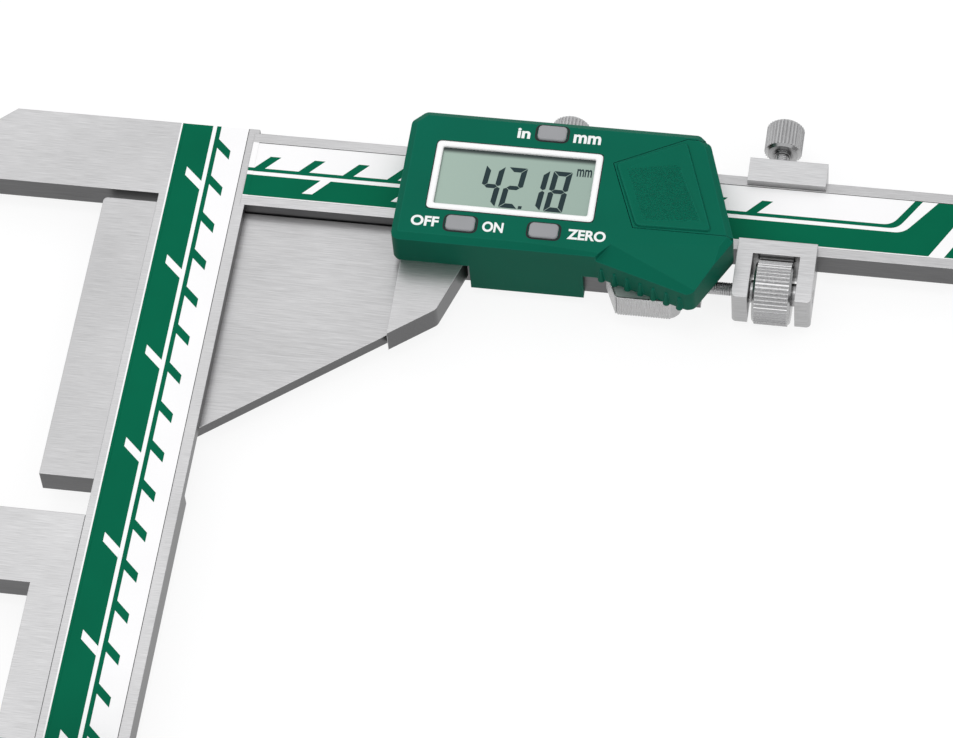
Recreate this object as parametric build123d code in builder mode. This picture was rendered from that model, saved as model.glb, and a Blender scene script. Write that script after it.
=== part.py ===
from build123d import *
import os

# Digital gear tooth caliper, lying on its back. All sizes in millimetres.
# +X runs along the addendum beam, +Y along the thickness beam towards the fixed jaw,
# +Z out of the front faces. The origin is on the back of the fixed jaw, half way up
# its height, where it leaves the thickness beam.

# Beams
beam_width = 19.5
half_beam = beam_width / 2
beam_thick = 6.0
thickness_beam_reach = 264.0  # below the fixed jaw's measuring face
addendum_beam_reach = 172.0  # from the thickness beam's edge
beam_drop = 1.0  # addendum beam's lower edge below the measuring face
rebate_depth = 1.0  # addendum beam let into the thickness beam's edge
lap_length = 15.0
lap_thick = 2.8
lap_margin = 2.5
lap_screw_step = (5.0, 4.6)
dowel_radius = 1.0
dowel_step = 2.0
stop_screw_depth = 3.0
stop_head_height = 1.2
stop_inset = 4.0
stop_side = 8.0
scale_width = 14.7
scale_recess = 0.55
scale_thick = 0.5
scale_end_gap = 9.0

# Jaws
jaw_height = 19.5
jaw_shoulder = 36.0  # straight outer side before the slope to the tip
jaw_tip = 3.1
sliding_jaw_height = 17.7
jaw_opening = 84.0
addendum_reading = 42.18

# Tongue, which touches the tooth's tip
tongue_stand = 12.0  # how far the block stands out of the beam
tongue_height = 72.6
tongue_gap = 2.4  # below the fixed jaw's measuring face
tongue_thick = 3.0
tongue_slope = 0.772
tongue_seam_low = 38.25  # lower end of the seam with the arm, below the beam's centre
tongue_tail = 8.9
tongue_round = 1.0
tongue_screw_places = [(3.4, -24.0), (3.4, -32.0), (7.0, -27.5)]
tongue_screw_bite = 2.3

# Running and fitting gaps
slide_gap = 0.1
fit_gap = 0.05
thread_fit = 0.02
stop_gap = 0.3

# Slider frame, in the slider's own axes: u along the beam from the frame's front end,
# v across the beam from its centre line, w up from the beam's back
addendum_arm_start = 36.85  # from the thickness beam's edge to the arm
thickness_frame_room = 119.0  # from the frame's front end to the beam's lower end
thickness_frame_start = thickness_beam_reach - thickness_frame_room
back_thick = 1.9
frame_short = 9.7  # the frame ends before the housing's right tip
lug_overhang = 3.1
lug_length = 3.8
rail_high = 4.1  # the rails stand out of the beam's sides
rail_low = 9.25
lug_drop = 1.6
rail_top = half_beam + rail_high
rail_bottom = -half_beam - rail_low
lug_bottom = rail_bottom - lug_drop
gib_thick = 1.2
arm_drop = 2.1  # arm's lower edge below the tongue's
arm_corner = 9.7
arm_heel = 14.4
arm_round = 2.0
gib_end_gap = 1.0
jaw_rail_width = 8.5

# Display, whose place sets the buttons, the posts and the battery room beside it
display_start = 4.85
display_v = -3.45
bezel_size = (36.9, 18.3)
bezel_border = 1.45
bezel_proud = 0.15
glass_sunk = 0.4
lcd_flange = 0.8
lcd_flange_thick = 1.2
display_u = display_start + bezel_size[0] / 2

# Display housing
housing_height = 9.0
housing_above = 3.95  # out of the beam's sides
housing_below = 11.05
housing_top = half_beam + housing_above
housing_bottom = -half_beam - housing_below
housing_overlap = 1.8
battery_room = 30.85  # from the bezel's right side to the housing's right tip
housing_right = display_start + bezel_size[0] + battery_room
housing_tip_rise = 7.4  # right tip above the housing's lower side
housing_right_v = housing_bottom + housing_tip_rise
right_side_lean = 7.9
housing_right_top = housing_right - right_side_lean
corner_cut = (2.9, 2.9)
corner_cut_right = (2.8, 2.6)
corner_cut_low = 1.2
lobe_run = 20.0  # from the display's middle
lobe_short = 8.6
lobe_drop = 6.3
lobe_start = display_u + lobe_run
lobe_end = housing_right - lobe_short
lobe_bottom = housing_bottom - lobe_drop
lobe_edge_drop = 2.4
lobe_lip_place = (0.3, 1.45)  # where the lower facet starts, from the lobe's low corner
lobe_lip_drop = 3.1
lobe_corner = (1.5, 0.5)
crease_from_left = (23.1, 3.1)
crease_from_right = (1.4, 5.3)
crease_left = (display_u + crease_from_left[0], housing_bottom + crease_from_left[1])
crease_right = (housing_right - crease_from_right[0], housing_bottom + crease_from_right[1])
housing_round = 1.7
housing_bevel = (1.5, 1.0)  # across the front face, and down the walls
cell_room = 29.4
display_room_end = housing_right - cell_room
wall = 1.6
front_wall = 1.7
battery_wall = 3.2
low_wall = 2.0
cavity_bottom = housing_bottom + low_wall
tab_gap = 0.8
tab_run = 16.9
tab_start = arm_heel + tab_gap
tab_end = display_u + tab_run
rib_count = 7
rib_radius = 0.8
rib_tip_radius = 0.3
rib_height = 3.8
rib_offset = 0.4  # of a rib's pitch, before the first rib
well_wall = 1.2
well_drop = 0.5

# Buttons and battery
button_size = (6.6, 4.0)
button_round = 1.1
button_proud = 0.6
button_lip = 0.8
button_lip_width = 0.7
button_travel = 0.7
button_inset = (3.7, 4.8)  # from the housing's upper and lower side
unit_run, power_run, zero_run = 6.4, 10.2, 8.1
button_places = {
    "unit": (display_u + unit_run, housing_top - button_inset[0]),
    "power": (display_u - power_run, housing_bottom + button_inset[1]),
    "zero": (display_u + zero_run, housing_bottom + button_inset[1]),
}
button_edge = 0.4
stem_radius = 1.0
switch_size = 3.0
switch_height = 0.5
base_thick = 0.8
board_thick = 0.8
battery_radius = 5.8
battery_thick = 5.4
battery_inset = (15.2, 2.9)
battery_place = (housing_right - battery_inset[0], -battery_inset[1])
battery_edge = 0.4
contact_height = 0.6
contact_thick = 0.3
cover_thick = 1.3
cover_gap = 0.15
cover_rise = 7.8  # above the housing's lower side
cover_inset = 1.9
cover_low = housing_bottom + cover_rise
cover_high = housing_top - cover_inset
cover_corner_v = 3.7
cover_runs = (13.2, 28.6, 22.2)  # its left corners before the housing's right tip
cover_points = [
    (housing_right - cover_runs[0], cover_high),
    (housing_right - cover_runs[1], cover_corner_v),
    (housing_right - cover_runs[2], cover_low),
]
cover_lip_runs = (12.6, 9.6)
cover_lip = (housing_right - cover_lip_runs[0], housing_right - cover_lip_runs[1])
cover_lip_reach = 0.4
cover_lip_thick = 0.5
battery_contact_radius = 4.0
sensor_window = (26.0, 11.0)

# Fine adjustment, lock screws and small screws
carriage_gap = 0.4
carriage_length = 17.3
carriage_flange = 1.6
carriage_grip = 2.0  # how far the flanges reach over the beam's front
clevis_drop = 13.45
clevis_bottom = -half_beam - clevis_drop
clevis_leg = 3.5
clevis_bridge = 3.7
nut_radius = 7.0
nut_hub_radius = 5.6
nut_hub_length = 0.8
nut_side_gap = 0.2
nut_edge = 0.4
clevis_round = 1.0
rod_end_gap = 0.6
rod_radius = 1.5
rod_drop = 8.25
rod_v = -half_beam - rod_drop
rod_w = 2.4
thread_gap = 0.05
lock_screw_radius = 1.5
lock_head_radius = 4.2
lock_head_length = 7.5
lock_head_edge = 0.6
lock_w = 3.0
slider_lock_run = 8.7
slider_lock_u = display_u + slider_lock_run
slider_lock_neck = 0.4
carriage_lock_u = 6.6
carriage_lock_neck = 4.7
small_screw_radius = 0.8
small_head_radius = 1.4
small_head_depth = 1.0
post_radius = 2.2
post_hole = 5.0
post_inset = (1.5, 4.6)  # from the housing's upper and lower side
post_high, post_low = housing_top - post_inset[0], housing_bottom + post_inset[1]
post_runs = (5.0, 2.9, 1.3, 16.7)
gib_screw_radius = 1.2
gib_screw_sunk = 0.4
gib_screw_runs = (10.0, 12.9)
thumb_length = 16.7
thumb_drop = 6.7
thumb_bottom = rail_bottom - thumb_drop
thumb_slope = 2.8
thumb_chamfer = 1.5
thumb_gap = 0.2
thumb_groove = 0.5
thumb_groove_count = 6

# Places worked out from the sizes above
face_y = -jaw_height / 2
beam_low_y = face_y - beam_drop
addendum_y = beam_low_y + half_beam
jaw_reach = tongue_stand + addendum_reading
tongue_low_y = face_y - tongue_gap - tongue_height
lap_x = beam_width - rebate_depth - lap_length / 2
recess_floor = beam_thick - scale_recess
frame_front = beam_thick + stop_gap
housing_front = frame_front + housing_height
housing_inside = housing_front - front_wall
battery_ceiling = housing_front - battery_wall
cover_floor = housing_front - cover_thick
addendum_place = Location((beam_width + addendum_arm_start, addendum_y, 0))
thickness_place = Location((half_beam, face_y - thickness_frame_start, 0), (0, 0, -90))
jaw_rail_length = thickness_frame_start - jaw_opening
frame_length = housing_right - frame_short
rail_length = frame_length + lug_overhang
rod_start = rail_length - lug_length
gib_top = half_beam + slide_gap + gib_thick
back_low = -slide_gap - back_thick
board_bottom = frame_front + base_thick
board_top = board_bottom + board_thick
battery_bottom = board_top + contact_height
window_size = [size - 2 * bezel_border for size in bezel_size]
carriage_start = housing_right + carriage_gap
carriage_end = carriage_start + carriage_length
carriage_front = beam_thick + slide_gap + carriage_flange
slot_start = carriage_start + clevis_leg
slot_end = carriage_end - clevis_leg
slot_middle = (slot_start + slot_end) / 2
thumb_end = rod_start - thumb_gap
thumb_start = thumb_end - thumb_length
over = 1.0  # cuts run this far past the faces that they open
screw_places = [
    (post_runs[0], post_high),
    (frame_length - post_runs[1], post_high),
    (display_u - post_runs[2], post_low),
    (display_u + post_runs[3], post_low),
]
gib_screw_places = [gib_screw_runs[0], frame_length - gib_screw_runs[1]]

os.makedirs("parts", exist_ok=True)


def save(part, name):
    part.label = name
    export_step(part, f"parts/{name}.step")


def block(low, high, mode=Mode.ADD):
    """A block between two corners, added to or cut from the piece being built."""
    with Locations(tuple((a + b) / 2 for a, b in zip(low, high))):
        Box(*[b - a for a, b in zip(low, high)], mode=mode)


def into_back(points, w=0.0):
    """Places on a back face, for holes that go up into it."""
    return [Location((x, y, w), (180, 0, 0)) for x, y in points]


def into_front(points, w):
    return [Location((x, y, w)) for x, y in points]


def copies(part, places):
    """One group of equal pieces."""
    return Compound([part.moved(place) for place in places])


# Places of the small screws and pins
lap_screw_points = [
    (lap_x + i * lap_screw_step[0], addendum_y + j * lap_screw_step[1])
    for i in (-1, 1)
    for j in (-1, 1)
]
dowel_points = [(lap_x + i * dowel_step, addendum_y) for i in (-1, 1)]
thickness_stop_points = [
    (half_beam + i * stop_side, face_y - thickness_beam_reach + stop_inset) for i in (-1, 1)
]
addendum_stop_points = [
    (beam_width + addendum_beam_reach - stop_inset, addendum_y + i * stop_side)
    for i in (-1, 1)
]


def jaw_outline(height, side):
    """Corners of a jaw that points to -X from x = 0, with its measuring face on y = 0."""
    return [
        (0, 0),
        (-jaw_reach, 0),
        (-jaw_reach, side * jaw_tip),
        (-jaw_shoulder, side * height),
        (0, side * height),
    ]


# Thickness beam with the fixed jaw
def thickness_beam():
    with BuildPart() as beam:
        with BuildSketch(Plane.XY):
            with Locations((half_beam, face_y + jaw_height)):
                Rectangle(
                    beam_width,
                    jaw_height + thickness_beam_reach,
                    align=(Align.CENTER, Align.MAX),
                )
            with Locations((0, face_y)):
                Polygon(*jaw_outline(jaw_height, 1), align=None)
        extrude(amount=beam_thick)
        # rebate and lap for the addendum beam's end
        block(
            (beam_width - rebate_depth, beam_low_y, -over),
            (beam_width + over, beam_low_y + beam_width, beam_thick + over),
            Mode.SUBTRACT,
        )
        block(
            (beam_width - rebate_depth - lap_length, beam_low_y + lap_margin, -over),
            (beam_width, beam_low_y + beam_width - lap_margin, lap_thick),
            Mode.SUBTRACT,
        )
        # wide pocket across the back, where the tongue passes
        block(
            (-over, tongue_low_y - stop_gap, -over),
            (beam_width + over, beam_low_y, tongue_thick + slide_gap),
            Mode.SUBTRACT,
        )
        # recess for the scale, open at the fixed jaw's end
        with BuildSketch(Plane.XY.offset(recess_floor)):
            with Locations((half_beam, face_y - thickness_beam_reach + scale_end_gap)):
                Rectangle(
                    scale_width,
                    jaw_height + thickness_beam_reach,
                    align=(Align.CENTER, Align.MIN),
                )
        extrude(amount=scale_recess + over, mode=Mode.SUBTRACT)
        with Locations(*into_back(lap_screw_points)):
            Hole(radius=small_screw_radius + thread_fit, depth=recess_floor)
        with Locations(*into_back(dowel_points)):
            Hole(radius=dowel_radius + thread_fit, depth=recess_floor)
        with Locations(*into_front(thickness_stop_points, beam_thick)):
            Hole(radius=small_screw_radius + thread_fit, depth=stop_screw_depth)
    return beam.part


# Addendum beam, let into the thickness beam's edge and lapped behind it
def addendum_beam():
    with BuildPart() as beam:
        with BuildSketch(Plane.XY):
            with Locations((beam_width - rebate_depth, addendum_y)):
                Rectangle(
                    addendum_beam_reach + rebate_depth,
                    beam_width,
                    align=(Align.MIN, Align.CENTER),
                )
        extrude(amount=beam_thick)
        with BuildSketch(Plane.XY):
            with Locations((beam_width - rebate_depth, addendum_y)):
                Rectangle(
                    lap_length - fit_gap,
                    beam_width - 2 * lap_margin - 2 * fit_gap,
                    align=(Align.MAX, Align.CENTER),
                )
        extrude(amount=lap_thick)
        with BuildSketch(Plane.XY.offset(recess_floor)):
            with Locations((beam_width, addendum_y)):
                Rectangle(
                    addendum_beam_reach - scale_end_gap,
                    scale_width,
                    align=(Align.MIN, Align.CENTER),
                )
        extrude(amount=scale_recess + over, mode=Mode.SUBTRACT)
        with Locations(*into_back(lap_screw_points)):
            CounterBoreHole(
                radius=small_screw_radius + fit_gap,
                counter_bore_radius=small_head_radius + fit_gap,
                counter_bore_depth=small_head_depth,
                depth=lap_thick,
            )
        with Locations(*into_back(dowel_points)):
            Hole(radius=dowel_radius + thread_fit, depth=lap_thick)
        with Locations(*into_front(addendum_stop_points, beam_thick)):
            Hole(radius=small_screw_radius + thread_fit, depth=stop_screw_depth)
    return beam.part


# Scale strips, bonded in the beams' recesses
def thickness_scale():
    with BuildPart() as strip:
        with BuildSketch(Plane.XY.offset(recess_floor)):
            with Locations((half_beam, face_y + jaw_height)):
                Rectangle(
                    scale_width - 2 * fit_gap,
                    jaw_height + thickness_beam_reach - scale_end_gap - fit_gap,
                    align=(Align.CENTER, Align.MAX),
                )
        extrude(amount=scale_thick)
    return strip.part


def addendum_scale():
    with BuildPart() as strip:
        with BuildSketch(Plane.XY.offset(recess_floor)):
            with Locations((beam_width + fit_gap, addendum_y)):
                Rectangle(
                    addendum_beam_reach - scale_end_gap - 2 * fit_gap,
                    scale_width - 2 * fit_gap,
                    align=(Align.MIN, Align.CENTER),
                )
        extrude(amount=scale_thick)
    return strip.part


# Screws and pins
def slotted_screw(shank_length, head_height=small_head_depth - fit_gap):
    """A small screw that points to -Z, the underside of its head on z = 0."""
    with BuildPart() as screw:
        Cylinder(
            small_screw_radius, shank_length, align=(Align.CENTER, Align.CENTER, Align.MAX)
        )
        Cylinder(
            small_head_radius, head_height, align=(Align.CENTER, Align.CENTER, Align.MIN)
        )
        with Locations((0, 0, head_height)):
            Box(3 * small_head_radius, small_head_radius / 3, head_height, mode=Mode.SUBTRACT)
    return screw.part


def dowels():
    with BuildPart() as pin:
        Cylinder(
            dowel_radius,
            recess_floor - fit_gap,
            align=(Align.CENTER, Align.CENTER, Align.MIN),
        )
    return copies(pin.part, [Location((x, y, 0)) for x, y in dowel_points])


# Tongue: a thin plate that passes behind the thickness beam, with a thick measuring block
def tongue_edge(u):
    """Height of the slanted lower edge, in the slider's axes."""
    return -tongue_seam_low + tongue_slope * u


def tongue_outline(u_low, u_high, clearance=0.0):
    top = -half_beam - stop_gap + clearance
    return [
        (u_low, top),
        (u_high + clearance, top),
        (u_high + clearance, tongue_edge(u_high) - clearance),
        (u_low, tongue_edge(u_low) - clearance),
    ]


def tongue():
    block_u = -addendum_arm_start - beam_width
    block_top = face_y - tongue_gap - addendum_y
    with BuildPart() as blade:
        with BuildSketch(Plane.XY):
            Polygon(*tongue_outline(block_u, tongue_tail), align=None)
        extrude(amount=tongue_thick)
        with BuildSketch(Plane.XY):
            with Locations((block_u, block_top)):
                Rectangle(tongue_stand, tongue_height, align=(Align.MAX, Align.MAX))
        extrude(amount=beam_thick)
        corner = Vector(block_u - tongue_stand, block_top, beam_thick / 2)
        fillet(
            blade.edges().filter_by(Axis.Z).sort_by_distance(corner)[0], radius=tongue_round
        )
        with Locations(*into_back(tongue_screw_places)):
            CounterBoreHole(
                radius=small_screw_radius + fit_gap,
                counter_bore_radius=small_head_radius + fit_gap,
                counter_bore_depth=small_head_depth,
                depth=tongue_thick,
            )
    return blade.part


# Slider frame: a channel that wraps the beam from behind
def frame_channel():
    """The channel, in the builder that calls it, with its screw holes."""
    with BuildSketch(Plane.XY.offset(back_low)) as outline:
        Polygon(
            (0, rail_top),
            (frame_length, rail_top),
            (frame_length, -half_beam),
            (rail_length, -half_beam),
            (rail_length, lug_bottom),
            (rod_start, lug_bottom),
            (rod_start, rail_bottom),
            (0, rail_bottom),
            align=None,
        )
    extrude(outline.sketch, amount=frame_front - back_low)
    block(
        (-over, -half_beam - slide_gap, -slide_gap),
        (rail_length + over, gib_top + slide_gap, frame_front + over),
        Mode.SUBTRACT,
    )
    with Locations(*into_back(screw_places, back_low)):
        CounterBoreHole(
            radius=small_screw_radius + fit_gap,
            counter_bore_radius=small_head_radius + fit_gap,
            counter_bore_depth=small_head_depth,
            depth=frame_front - back_low,
        )
    with Locations(*[Location((u, rail_top, lock_w), (-90, 0, 0)) for u in gib_screw_places]):
        Hole(radius=gib_screw_radius + thread_fit, depth=rail_top - gib_top)
    with Locations(Location((slider_lock_u, rail_top, lock_w), (-90, 0, 0))):
        Hole(radius=lock_screw_radius + thread_gap, depth=rail_top - gib_top)
    with Locations(Location((rail_length, rod_v, rod_w), (0, 90, 0))):
        Hole(radius=rod_radius + thread_fit, depth=lug_length)


def addendum_frame():
    with BuildPart() as frame:
        frame_channel()
        # arm that carries the tongue
        with BuildSketch(Plane.XY):
            Polygon(
                (0, rail_bottom),
                (arm_heel, rail_bottom),
                (arm_corner, tongue_edge(arm_corner) - arm_drop),
                (0, tongue_edge(0) - arm_drop),
                align=None,
            )
        extrude(amount=frame_front)
        corner = Vector(arm_corner, tongue_edge(arm_corner) - arm_drop, frame_front / 2)
        fillet(
            frame.edges().filter_by(Axis.Z).sort_by_distance(corner)[0], radius=arm_round
        )
        # slot that takes the tongue's tail
        with BuildSketch(Plane.XY):
            Polygon(*tongue_outline(-over, tongue_tail, fit_gap), align=None)
        extrude(amount=tongue_thick, mode=Mode.SUBTRACT)
        with Locations(*into_back(tongue_screw_places, tongue_thick)):
            Hole(radius=small_screw_radius + thread_fit, depth=tongue_screw_bite)
    return frame.part


def thickness_frame():
    inner_v = -half_beam - slide_gap
    with BuildPart() as frame:
        frame_channel()
        # rail beside the beam, and the sliding jaw at its end
        with BuildSketch(Plane.XY):
            with Locations((fit_gap, inner_v)):
                Rectangle(
                    jaw_rail_length + fit_gap,
                    jaw_rail_width - slide_gap,
                    align=(Align.MAX, Align.MAX),
                )
            Polygon(
                *[
                    (-jaw_rail_length - y, min(x - half_beam, inner_v))
                    for x, y in jaw_outline(sliding_jaw_height, -1)
                ],
                align=None,
            )
        extrude(amount=beam_thick)
    return frame.part


# Gib, which takes up play between the rail and the beam
def gib():
    with BuildPart() as strip:
        block(
            (gib_end_gap, half_beam + slide_gap, slide_gap),
            (frame_length - gib_end_gap, gib_top, beam_thick - slide_gap),
        )
    return strip.part


def gib_screws():
    with BuildPart() as screw:
        length = rail_top - gib_top - gib_screw_sunk
        Cylinder(gib_screw_radius, length, align=(Align.CENTER, Align.CENTER, Align.MAX))
        Box(3 * gib_screw_radius, gib_screw_radius / 3, length / 2, mode=Mode.SUBTRACT)
    return copies(
        screw.part,
        [
            Location((u, rail_top - gib_screw_sunk, lock_w), (-90, 0, 0))
            for u in gib_screw_places
        ],
    )


def thumb_rest():
    with BuildPart() as rest:
        with BuildSketch(Plane.XY):
            Polygon(
                (thumb_start, rail_bottom),
                (thumb_start + thumb_slope, thumb_bottom),
                (thumb_end - thumb_chamfer, thumb_bottom),
                (thumb_end, thumb_bottom + thumb_chamfer),
                (thumb_end, rail_bottom),
                align=None,
            )
            pitch = (thumb_end - thumb_start - 2 * thumb_slope) / thumb_groove_count
            with Locations(
                *[
                    (thumb_start + thumb_slope + (i + 0.5) * pitch, thumb_bottom)
                    for i in range(thumb_groove_count)
                ]
            ):
                Circle(thumb_groove, mode=Mode.SUBTRACT)
        extrude(amount=frame_front)
    return rest.part


# Display housing: a moulded shell with a sloping ribbed lobe at its lower right
housing_points = [
    (-housing_overlap, housing_top - corner_cut[1]),
    (-housing_overlap + corner_cut[0], housing_top),
    (housing_right_top - corner_cut_right[0], housing_top),
    (housing_right_top, housing_top - corner_cut_right[1]),
    (housing_right, housing_right_v),
    (lobe_end + lobe_corner[0], lobe_bottom + lobe_corner[1]),
    (lobe_end, lobe_bottom),
    (lobe_start, housing_bottom),
    (-housing_overlap + corner_cut_low, housing_bottom),
    (-housing_overlap, housing_bottom + corner_cut_low),
]


def housing_outline():
    """The housing's outline with rounded corners, in the sketch that calls it."""
    Polygon(*housing_points, align=None)
    fillet(vertices(), radius=housing_round)


def cavity(inset=0.0):
    """The room inside the walls, in the sketch that calls it."""
    Polygon(*housing_points, align=None)
    offset(amount=-wall - inset, kind=Kind.INTERSECTION)
    with Locations((housing_right / 2, cavity_bottom + inset)):
        Rectangle(
            2 * housing_right,
            housing_top - cavity_bottom,
            align=(Align.CENTER, Align.MIN),
            mode=Mode.INTERSECT,
        )


def bevel_front(builder):
    """The bevel round the front face, on the part being built."""
    front = builder.faces().sort_by(Axis.Z)[-1]
    across, down = housing_bevel
    chamfer(front.edges(), length=across, length2=down, reference=front)


def lobe_plane():
    """The sloping facet, which falls from a crease on the front face to the lobe's edge."""
    left = Vector(*crease_left, housing_front)
    right = Vector(*crease_right, housing_front)
    edge = Vector(lobe_end, lobe_bottom, housing_front - lobe_edge_drop)
    across = right - left
    return Plane(origin=left, x_dir=across, z_dir=(edge - left).cross(across))


def lobe_lip():
    """What the lower facet takes off: it falls from the sloping facet to the lobe's wall."""
    start = Vector(*crease_left, housing_front)
    sloping = lobe_plane()
    above = Axis((lobe_end + lobe_lip_place[0], lobe_bottom + lobe_lip_place[1], 0), (0, 0, 1))
    ridge = sloping.intersect(above)
    low = Vector(lobe_end, lobe_bottom, housing_front - lobe_lip_drop)
    across = ridge - start
    facet = Plane(origin=start, x_dir=across, z_dir=(low - start).cross(across))
    with BuildPart() as lip:
        with BuildSketch(Plane.XY.offset(frame_front)):
            Polygon(
                crease_left,
                (2 * lobe_start - crease_left[0], 2 * housing_bottom - crease_left[1]),
                (lobe_start, 2 * lobe_bottom),
                (2 * housing_right, 2 * lobe_bottom),
                (2 * housing_right, crease_left[1]),
                align=None,
            )
        extrude(amount=2 * housing_height)
        split(bisect_by=facet, keep=Keep.TOP)
    return lip.part


def cover_outline(inset):
    """The battery cover's outline, run out of the housing's right side."""
    Polygon(
        *cover_points,
        (2 * housing_right, cover_low),
        (2 * housing_right, cover_high),
        align=None,
    )
    if inset:
        offset(amount=-inset, kind=Kind.INTERSECTION)


def cover_lips(gap, mode):
    """Two lips under the cover's straight edges, and with a gap the grooves for them."""
    for side, v in ((-1, cover_low), (1, cover_high)):
        inner, outer = v - side, v + side * (cover_lip_reach + gap)
        block(
            (cover_lip[0] - gap, min(inner, outer), cover_floor),
            (
                cover_lip[1] + (2 * housing_right if gap else 0),
                max(inner, outer),
                cover_floor + cover_lip_thick + gap,
            ),
            mode,
        )


def display_housing():
    with BuildPart() as shell:
        with BuildSketch(Plane.XY.offset(frame_front)):
            housing_outline()
        extrude(amount=housing_height)
        bevel_front(shell)
        split(bisect_by=lobe_plane(), keep=Keep.BOTTOM)
        add(lobe_lip(), mode=Mode.SUBTRACT)
        # tab that clips over the frame's lower side
        with BuildSketch(Plane.XZ.offset(-housing_bottom)):
            with Locations(((tab_start + tab_end) / 2, frame_front)):
                Rectangle(
                    tab_end - tab_start,
                    frame_front - back_low,
                    align=(Align.CENTER, Align.MAX),
                )
        extrude(amount=housing_bottom - rail_bottom + fit_gap)
        # ribs along the lobe's lower wall
        run = Vector(lobe_end - lobe_start, lobe_bottom - housing_bottom)
        with Locations(
            *[
                (
                    lobe_start + run.X * (i + rib_offset) / rib_count,
                    housing_bottom + run.Y * (i + rib_offset) / rib_count,
                    frame_front,
                )
                for i in range(rib_count)
            ]
        ):
            Cone(
                rib_radius,
                rib_tip_radius,
                rib_height,
                align=(Align.CENTER, Align.CENTER, Align.MIN),
            )
        # room inside, deeper behind the display than behind the battery cover
        with BuildSketch(Plane.XY.offset(frame_front)):
            cavity()
        extrude(amount=battery_ceiling - frame_front, mode=Mode.SUBTRACT)
        with BuildSketch(Plane.XY.offset(battery_ceiling)):
            cavity()
            with Locations((display_room_end, 0)):
                Rectangle(
                    2 * housing_right,
                    4 * housing_top,
                    align=(Align.MAX, Align.CENTER),
                    mode=Mode.INTERSECT,
                )
        extrude(amount=housing_inside - battery_ceiling, mode=Mode.SUBTRACT)
        # posts for the screws, and the well round the battery
        with BuildSketch(Plane.XY.offset(frame_front)):
            with Locations(*screw_places):
                Circle(post_radius)
            Polygon(*housing_points, align=None, mode=Mode.INTERSECT)
        extrude(amount=housing_inside - frame_front)
        with Locations(*into_back(screw_places, frame_front)):
            Hole(radius=small_screw_radius + thread_fit, depth=post_hole)
        with BuildSketch(Plane.XY.offset(battery_bottom - well_drop)):
            with Locations(battery_place):
                Circle(battery_radius + fit_gap + well_wall)
        extrude(amount=battery_ceiling - battery_bottom + well_drop)
        with Locations(*into_front([battery_place], housing_front)):
            Hole(radius=battery_radius + slide_gap, depth=housing_height)
        # openings in the front
        with BuildSketch(Plane.XY.offset(housing_inside)):
            with Locations((display_u, display_v)):
                Rectangle(*bezel_size)
            with Locations(*button_places.values()):
                RectangleRounded(*button_size, radius=button_round)
        extrude(amount=front_wall + over, mode=Mode.SUBTRACT)
        with BuildSketch(Plane.XY.offset(cover_floor)):
            cover_outline(0)
        extrude(amount=cover_thick + over, mode=Mode.SUBTRACT)
        cover_lips(slide_gap, Mode.SUBTRACT)
    return shell.part


def battery_cover():
    with BuildPart() as cover:
        with BuildSketch(Plane.XY.offset(cover_floor)):
            housing_outline()
        extrude(amount=cover_thick)
        bevel_front(cover)
        with BuildSketch(Plane.XY.offset(cover_floor)):
            cover_outline(cover_gap)
        extrude(amount=cover_thick, mode=Mode.INTERSECT)
        cover_lips(0, Mode.ADD)
    return cover.part


def display_base():
    with BuildPart() as base:
        with BuildSketch(Plane.XY.offset(frame_front)):
            cavity(fit_gap)
            with Locations(*screw_places):
                Circle(post_radius + slide_gap, mode=Mode.SUBTRACT)
            with Locations((display_u, 0)):
                Rectangle(*sensor_window, mode=Mode.SUBTRACT)
        extrude(amount=base_thick)
    return base.part


def circuit_board():
    with BuildPart() as board:
        with BuildSketch(Plane.XY.offset(board_bottom)):
            cavity(stop_gap)
            with Locations(*screw_places):
                Circle(post_radius + stop_gap, mode=Mode.SUBTRACT)
        extrude(amount=board_thick)
        with BuildSketch(Plane.XY.offset(board_top)):
            with Locations(*button_places.values()):
                Rectangle(switch_size, switch_size)
        extrude(amount=switch_height)
    return board.part


def bezel():
    with BuildPart() as ring:
        with BuildSketch(Plane.XY.offset(housing_inside)):
            with Locations((display_u, display_v)):
                Rectangle(*[size - 2 * fit_gap for size in bezel_size])
                Rectangle(*window_size, mode=Mode.SUBTRACT)
        extrude(amount=front_wall + bezel_proud)
    return ring.part


def lcd():
    with BuildPart() as glass:
        with BuildSketch(Plane.XY.offset(housing_inside - lcd_flange_thick)):
            with Locations((display_u, display_v)):
                Rectangle(*[size + 2 * lcd_flange for size in bezel_size])
        extrude(amount=lcd_flange_thick)
        with BuildSketch(Plane.XY.offset(housing_inside)):
            with Locations((display_u, display_v)):
                Rectangle(*[size - 2 * fit_gap for size in window_size])
        extrude(amount=front_wall - glass_sunk)
    return glass.part


def lcd_holder():
    with BuildPart() as holder:
        with BuildSketch(Plane.XY.offset(board_top)):
            with Locations((display_u, display_v)):
                Rectangle(*bezel_size)
                Rectangle(*[size - 2 * wall for size in bezel_size], mode=Mode.SUBTRACT)
        extrude(amount=housing_inside - lcd_flange_thick - board_top)
    return holder.part


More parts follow.
